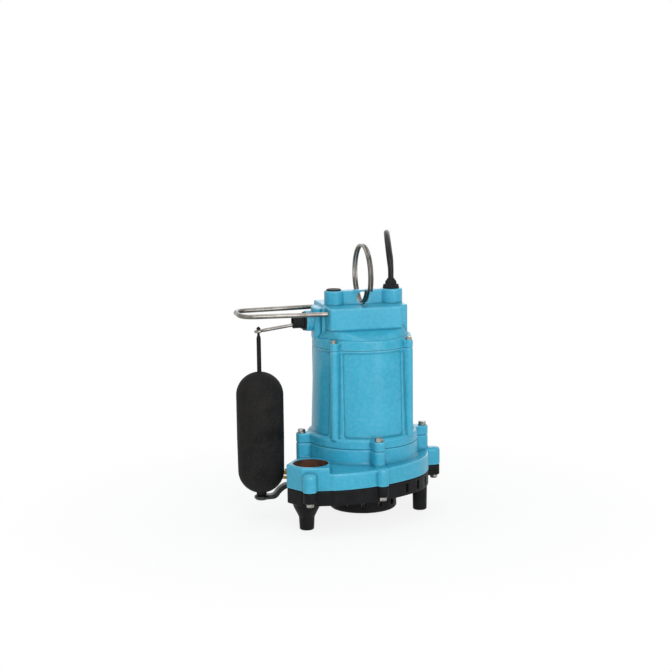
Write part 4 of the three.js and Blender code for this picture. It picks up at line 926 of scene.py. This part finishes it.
# %% Inlet guard
GUARD_Z, GUARD_WALL, GUARD_SLOTS = span("inlet_guard")[0].z, 3.0, 12
GUARD_TOP_Z = span("inlet_guard")[1].z
WINDOW_HALF, FIRST_WINDOW = 2.9, 105
inner = GUARD_R - GUARD_WALL
basket = turned([(0, GUARD_Z), (GUARD_R - 2, GUARD_Z), (GUARD_R, GUARD_Z + 2), (GUARD_R, GUARD_TOP_Z),
                 (inner, GUARD_TOP_Z), (inner, GUARD_Z + GUARD_WALL), (0, GUARD_Z + GUARD_WALL)])
slots = []
for i in range(GUARD_SLOTS):
    hole = rounded(-WINDOW_HALF, WINDOW_HALF, GUARD_Z + 8, PLATE_Z - 12, 2.5, steps=4)
    window = turned_by(prism(hole, inner - 4, GUARD_R + 4), 90, "X")
    slots.append(turned_by(window, FIRST_WINDOW + i * 360 / GUARD_SLOTS, "Z"))
cut(basket, *slots)
skin(basket, cell=0.75, rounds=2, keep=0.28)
settle(basket, "inlet_basket", satin_plastic, "black_plastic", "inlet_guard")

# %% [markdown]
# ## Screws
# Thirteen screws hold the pump together, in two sizes. Each is the same small model: a shank, a round
# washer face and a six-sided head whose top is chamfered. Its place and its height are read from the
# piece of the frame that it stands for, and the ones under the base are upside down.

# %% Screws
SHANK_R, HEAD, SMALL_HEAD = 2.5, (5.9, 5.0), (4.3, 4.0)


def screw(node, size, hanging=False):
    low, high = span(node)
    x, y = (low.x + high.x) / 2, (low.y + high.y) / 2
    radius, height = size
    way = -1 if hanging else 1
    tip, end = (low.z, high.z) if hanging else (high.z, low.z)
    seat = tip - way * height
    parts = [post(x, y, *sorted((end, seat + way)), SHANK_R, sides=20),
             post(x, y, *sorted((seat, seat + way * 0.9)), radius, sides=40)]
    flat, crown = seat + way * 0.6, tip - way * 0.9
    parts.append(post(x, y, *sorted((flat, crown)), radius * 0.93, sides=6))
    ends = (radius * 0.93, radius * 0.78) if way > 0 else (radius * 0.78, radius * 0.93)
    parts.append(post(x, y, *sorted((crown, tip)), *ends, sides=6))
    piece = fused(*parts)
    apply(piece, "BEVEL", width=0.22 * MM, segments=2, limit_method="ANGLE", angle_limit=math.radians(40))
    return settle(piece, node.replace("screw", "hex_screw"), screw_steel, "stainless", node)


for i in range(1, 5):
    screw(f"cover_screw_{i}", SMALL_HEAD)
    screw(f"flange_screw_{i}", HEAD)
    screw(f"base_screw_{i}", HEAD, hanging=True)
screw("guide_screw", SMALL_HEAD, hanging=True)

# %% [markdown]
# ## Oil plug and cord gland
# The plug closes the hole through which the motor is filled with oil. The gland is a moulded sleeve
# with a ribbed foot, a rounded shoulder and a soft cone that keeps the cord from kinking. Both are
# turned; the ribs are thin tapered posts set round the foot.

# %% Plug and gland
plug = turned([(0, -20), (8, -20), (8, 0.3), (10.2, 0.3), (10.2, 1.2), (9.5, 1.9), (0, 1.6)],
              PLUG_X, RIB_Y, BOSS_TOP_Z)
settle(plug, "oil_plug", dull_rubber, "black_plastic", "oil_fill_plug")

FOOT_RIBS, FOOT_CIRCLE = 16, 9.9
GLAND_FORM = [(0, -20), (8, -20), (8, 0.3), (11.2, 0.3), (11.4, 1.0), (11.2, 2.2), (10.2, 2.8), (10.0, 4.6),
              (8.4, 5.4), (7.7, 6.2), (8.0, 7.6), (7.6, 9.4), (6.6, 10.8), (5.5, 12.0), (5.0, 13.5),
              (4.2, 13.5), (4.2, 5.5), (0, 5.5)]
gland = turned(GLAND_FORM, GLAND_X, RIB_Y, BOSS_TOP_Z)
ribs = []
for i in range(FOOT_RIBS):
    x, y = on_circle(FOOT_CIRCLE, i * 360 / FOOT_RIBS)
    ribs.append(post(GLAND_X + x, RIB_Y + y, BOSS_TOP_Z + 1.5, BOSS_TOP_Z + 5.2, 1.2, 0.8, sides=12))
gland = fused(gland, *ribs)
settle(gland, "cord_gland_sleeve", dull_rubber, "black_rubber", "cord_gland")

# %% [markdown]
# ## Lifting ring and float guard
# Both are bent from round bar. The ring is a wire wound twice, like a key ring, that lies loosely in the
# hole of the rib. The guard is a long U that keeps the float from the wall of the pit, with both legs
# pressed into the cover. A curve with a round bevel follows such a bend better than a solid would.

# %% Lifting ring
RING_R, RING_WIRE, RING_PITCH, RING_SEAT = 38.7, 1.75, 3.9, 5.81
RING_END, RING_TURN, RING_STEPS = 210, 722, 240
RING_X, RING_Z = RING_HOLE_X + 1.5, RING_HOLE_Z - RING_SEAT + RING_R
winding = []
for i in range(RING_STEPS + 1):
    t = i / RING_STEPS
    y, z = on_circle(RING_R, RING_END + RING_TURN * t)
    winding.append((RING_X + RING_PITCH * (2 * t - 1), RIB_Y + y, RING_Z + z))
ring = tube(winding, RING_WIRE, resolution=6)
settle(ring, "wire_ring", spring_wire, "stainless", "lifting_ring", body="lifting_ring")

# %% Float guard
BAR_END_X, BAR_BEND, BAR_OUTER, BAR_SUNK = -172.6, 22.0, 30.5, 10.5


def half_guard(side):
    """One leg, from inside its socket to the bend, and its half of the round end."""
    mouth = Vector((BOX_LEFT, LEVER_Y + side * BAR_SPAN, BAR_Z))
    start = Vector((BAR_END_X + BAR_BEND, LEVER_Y + side * BAR_OUTER, BAR_Z))
    corner = Vector((BAR_END_X, LEVER_Y + side * BAR_OUTER, BAR_Z))
    end = Vector((BAR_END_X, LEVER_Y + side * (BAR_OUTER - BAR_BEND), BAR_Z))
    return [mouth + (mouth - start).normalized() * BAR_SUNK, *swing(start, corner, end, 16)]


guard = tube(half_guard(-1) + half_guard(1)[::-1], BAR_R, resolution=7)
settle(guard, "bent_rod", drawn_rod, "stainless", "float_guard")

# %% [markdown]
# ## The float switch
# A lever turns on a pin inside the neck. A rubber bushing seals the neck, and a short boot covers the
# lever where it leaves. Outside, the lever ends in an eye that hangs on the float's rod. The boot is
# turned, with a lip at its root. The lever is bars and a ring laid through each other, in one skin.

# %% Bushing and boot
BUSH_R, BOOT_R, BOOT_BORE, BOOT_LONG = 11.0, 9.5, 7.9, 14.5
bushing = turned(band(BOOT_BORE, BUSH_R, NECK_END_X - 1, CHAMBER_LEFT + 5.5), LEVER_Y, NECK_Z, lying=True)
washer = turned([(BOOT_BORE, -2.7), (BUSH_R + 1.8, -2.7), (BUSH_R + 2, -2.3), (BUSH_R + 2, -0.4),
                 (BOOT_BORE, -0.4)], LEVER_Y, NECK_Z, NECK_END_X, lying=True)
settle(fused(bushing, washer), "switch_seal", dull_rubber, "black_rubber", "switch_bushing")
boot = turned([(BOOT_BORE, -BOOT_LONG), (BOOT_R - 0.8, -BOOT_LONG), (BOOT_R, 0.8 - BOOT_LONG),
               (BOOT_R - 0.1, 5 - BOOT_LONG), (BOOT_R, -3.4), (BOOT_R + 1, -2.4), (BOOT_R + 1, -0.4),
               (BOOT_R + 0.6, 0), (BOOT_BORE, 0)], LEVER_Y, NECK_Z, NECK_END_X - 3, lying=True)
settle(boot, "rubber_boot", dull_rubber, "black_rubber", "switch_boot")

# %% Lever with its eye
PIVOT_X, PIVOT_Z = -72.0, NECK_Z - 1.5
DROOP, REACH, LEVER_R, EYE_R, EYE_WIRE, FINGER = 7.6, 72.8, 2.35, 4.3, 1.9, 11.0
HUB_R, HUB_HALF, PIN_BORE = 4.4, 3.5, 1.9


def along(distance, side=0.0, lift=0.0):
    """A place on the lever, counted from its pin towards the eye; the lever droops."""
    c, s = on_circle(1, DROOP)
    return PIVOT_X - distance * c - lift * s, LEVER_Y + side, PIVOT_Z - distance * s + lift * c


EYE_X, _, EYE_Z = along(REACH)
stem = cylinder(along(-FINGER - 1), along(REACH - 8), LEVER_R, sides=32)
taper = cylinder(along(REACH - 8), along(REACH - EYE_R), LEVER_R, EYE_WIRE, sides=32)
circle = [on_circle(EYE_R, 10 * i) for i in range(36)]
eye = tube([along(REACH - x, y) for x, y in circle], EYE_WIRE, closed=True)
hub = cylinder(along(0, -HUB_HALF), along(0, HUB_HALF), HUB_R)
lever = skin(fused(stem, taper, eye, hub), cell=0.45, rounds=4, keep=0.4)
cut(lever, cylinder(along(0, -6), along(0, 6), PIN_BORE))
settle(lever, "lever_wire", drawn_rod, "stainless", "switch_lever", body="switch_lever")

# %% [markdown]
# ## Float, rod and guide
# The rod carries the float. Its upper end is thin where it passes through the eye and has an arrow
# shape above, which snaps through the eye and keeps the rod there. The float is blown in a mould with
# two halves, so it has a fine parting line round its belly.

# %% Float rod
FLOAT_LOW, FLOAT_HIGH = (corner.z for corner in span("float"))
ROD_R, NECK_WIRE = 3.0, 1.7
rod_foot = FLOAT_HIGH - 40
eye_top = EYE_Z + EYE_WIRE
rod = turned([(0, rod_foot), (ROD_R, rod_foot), (ROD_R, EYE_Z - 9.5), (ROD_R - 0.5, EYE_Z - 7.4),
              (NECK_WIRE, EYE_Z - 5), (NECK_WIRE, eye_top + 1.2), (3.1, eye_top + 1.25), (3.15, eye_top + 1.8),
              (1.9, eye_top + 3.3), (0.7, eye_top + 4.5), (0, eye_top + 4.6)], EYE_X, LEVER_Y, steps=48)
settle(rod, "float_stem", satin_plastic, "black_plastic", "float_rod", body="float")

# %% Float
FLOAT_R, CUP_TOP, PIN_R = 32.5, FLOAT_LOW - 0.5, 3.0
belly = FLOAT_LOW + 2.5
seam = (FLOAT_HIGH + belly) / 2 - 7
low_dome = arc(0, belly + FLOAT_R, FLOAT_R - 0.6, -76, -4, 18)
high_dome = arc(0, FLOAT_HIGH - FLOAT_R, FLOAT_R, 4, 86, 22)
SEAM_FORM = [(0.1, -1.6), (0, -1.3), (0, -0.5), (0.4, -0.2), (0.4, 0.2), (0.05, 0.5)]
shell_form = [(0, FLOAT_LOW), (6.6, FLOAT_LOW), (7.1, FLOAT_LOW + 0.5), (7.0, belly + 0.7), *low_dome,
              *[(FLOAT_R - sunk, seam + h) for sunk, h in SEAM_FORM], *high_dome, (3.3, FLOAT_HIGH),
              (3.3, FLOAT_HIGH - 3), (0, FLOAT_HIGH - 3)]
floater = turned(shell_form, EYE_X, LEVER_Y, steps=128)
cut(floater, post(EYE_X, LEVER_Y, CUP_TOP - 1, belly + 46, PIN_R + 1.2, sides=32))
settle(floater, "float_shell", float_finish, "float_foam", "float", body="float", smooth=50)

# %% [markdown]
# ## The guide under the float
# A strap comes from a pad under the base plate and drops to a cup below the float. An upright pin in
# the cup slides in the float's bore. The strap follows a curve, so its outline is that curve shifted
# to both sides; the whole is then moulded into one skin.

# %% Float guide
CUP_Z, CUP_TALL, ARM_WIDTH = ARM_PAD_Z - 15.7, 6.5, 13.0
arm_reach = ARM_X - EYE_X
half_arm = ARM_THICK / 2
arm_line = through([Vector(p) for p in (
    (EYE_X + 0.14 * arm_reach, 0, CUP_Z + half_arm + 0.4), (EYE_X + 0.41 * arm_reach, 0, CUP_Z + half_arm + 1.4),
    (ARM_X - 0.45 * arm_reach, 0, ARM_PAD_Z - 4.6), (ARM_X - 0.27 * arm_reach, 0, ARM_PAD_Z + 1),
    (ARM_X - 0.11 * arm_reach, 0, ARM_PAD_Z + half_arm - 0.2), (ARM_X + 5.5, 0, ARM_PAD_Z + half_arm))], 1.0)
upper, lower = [], []
for before, here, after in zip(arm_line[:1] + arm_line, arm_line, arm_line[1:] + arm_line[-1:]):
    along_arm = (after - before).normalized()
    flat = min(1.0, max(0.0, (here.x - (ARM_X - 9)) / 4))
    side = Vector((-along_arm.z * (1 - flat), 0, along_arm.x * (1 - flat) + flat)).normalized() * half_arm
    upper.append(here + side)
    lower.append(here - side)
strap = prism([(p.x, p.z) for p in upper + lower[::-1]], -LEVER_Y - ARM_WIDTH / 2, -LEVER_Y + ARM_WIDTH / 2)
turned_by(strap, 90, "X")
cup = turned([(0, 0), (7.8, 0), (10.3, 2.5), (10.3, CUP_TALL - 1.5), (8.3, CUP_TALL), (0, CUP_TALL)],
             EYE_X, LEVER_Y, CUP_Z)
pin = post(EYE_X, LEVER_Y, CUP_Z + CUP_TALL - 2, belly + 36, PIN_R, sides=32)
guide = skin(fused(strap, cup, pin), cell=0.55, rounds=3, keep=0.35)
cut(guide, post(ARM_X, LEVER_Y, ARM_PAD_Z - 3, ARM_PAD_Z + ARM_THICK + 3, 2.8, sides=32))
settle(guide, "guide_arm", guide_plastic, "black_plastic", "float_guide")

# %% [markdown]
# ## The plug
# The plug lies on the floor beside the coil, behind the pump. It is a moulded grip with two flat blades
# and a round ground pin. The grip is pulled up from an outline that narrows to the cord, and is given a
# skin like the castings.

# %% Plug
plug_line = Vector((out.x, out.y, 0)).normalized()
plug_side = Vector((-plug_line.y, plug_line.x, 0))
PLUG_LONG, PLUG_HALF, PLUG_TALL = 42.0, 13.0, 22.0
plug_root = tail[3] + plug_line * 0.3


def on_plug(forward, sideways, up=0.0):
    return tuple(plug_root + plug_line * forward + plug_side * sideways + Vector((0, 0, up)))


side_line = [(0, 5.0), (9, 6.0), (11.5, 8), (13, PLUG_HALF - 2), (16, PLUG_HALF), (PLUG_LONG - 4, PLUG_HALF),
             (PLUG_LONG, PLUG_HALF - 2.5)]
outline = [on_plug(f, -s)[:2] for f, s in side_line] + [on_plug(f, s)[:2] for f, s in reversed(side_line)]
grip = skin(prism(outline, 0.4, PLUG_TALL), cell=0.8, rounds=9, keep=0.4)
settle(grip, "plug_grip", jacket, "plug_plastic", "plug_body")

# %% [markdown]
# ## The pieces inside
# Stator, rotor, bearings, seal, impeller, capacitor and switch are hidden in the castings, but a library
# part is taken apart. The frame's own solids already have their true shapes, so they are kept and only
# get finishes. Stacked steel sheets need lines all the way round, and wound wire needs strands, so both
# are noise that is stretched along its lines.

# %% Finishes for the inner pieces
def layered(name, dark, pale, metal, rough, squeeze, line, depth):
    """A finish with lines: noise that is stretched in one direction or in two."""
    material, tree, shader, place = start_material(name)
    lines = grain(tree, place, line, 2, squeeze)
    cloud = spread(tree, grain(tree, place, 12, 4), 0.35, 0.65, 0, 0.35)
    tone = spread(tree, lines, 0.38, 0.62, 0, 1)
    body = between(tree, tone, dark, pale)
    body = between(tree, cloud, body, dark)
    dress(tree, shader, body, spread(tree, lines, 0.3, 0.7, rough, rough + 0.15), metal)
    bumps(tree, shader, (lines, depth, 0.6))
    return material


def cast_or_ground(name, dark, pale, metal, rough, lump, pit_depth):
    material, tree, shader, place = start_material(name)
    cloud = spread(tree, grain(tree, place, lump, 4), 0.35, 0.65, 0, 1)
    body = between(tree, cloud, dark, pale)
    dress(tree, shader, body, spread(tree, cloud, 0, 1, rough, rough + 0.14), metal)
    bumps(tree, shader, (grain(tree, place, 0.9, 4), pit_depth, 0.5))
    return material


INNER = (
    (layered("stacked_sheets", "5d5e60", "8b8c8d", 0.9, 0.35, (0.03, 0.03, 1), 0.7, 0.12),
     "stator_core rotor_core"),
    (layered("enamelled_copper", "8a4a28", "c67d4e", 0.85, 0.3, (1, 1, 0.12), 0.9, 0.25),
     "winding_upper winding_lower"),
    (cast_or_ground("grey_iron", "4c4d4f", "6a6b6c", 0.7, 0.45, 8, 0.15), "bearing_bracket"),
    (machined, "upper_bearing lower_bearing motor_shaft impeller_nut lever_pin"),
    (cast_or_ground("white_ceramic", "ddd8cc", "efebe2", 0.0, 0.18, 6, 0.01), "seal_seat"),
    (cast_or_ground("seal_carbon", "1b1b1d", "2c2c30", 0.1, 0.38, 5, 0.03), "seal_rotor"),
    (cast_or_ground("glass_filled_plastic", "1f2022", "34363a", 0.0, 0.45, 5, 0.06), "impeller"),
    (layered("drawn_aluminium", "a5a8aa", "c9cbcc", 1.0, 0.26, (0.05, 1, 1), 0.8, 0.02), "run_capacitor"),
    (satin_plastic, "micro_switch"),
    (cast_or_ground("yellow_brass", "6b5428", "8a6e3a", 1.0, 0.3, 7, 0.01),
     "plug_blade_1 plug_blade_2 plug_ground_pin"),
)
for finish, names in INNER:
    for name in names.split():
        nodes[name].data.materials.clear()
        nodes[name].data.materials.append(finish)
print("inner pieces with a finish:", sum(len(names.split()) for _, names in INNER))
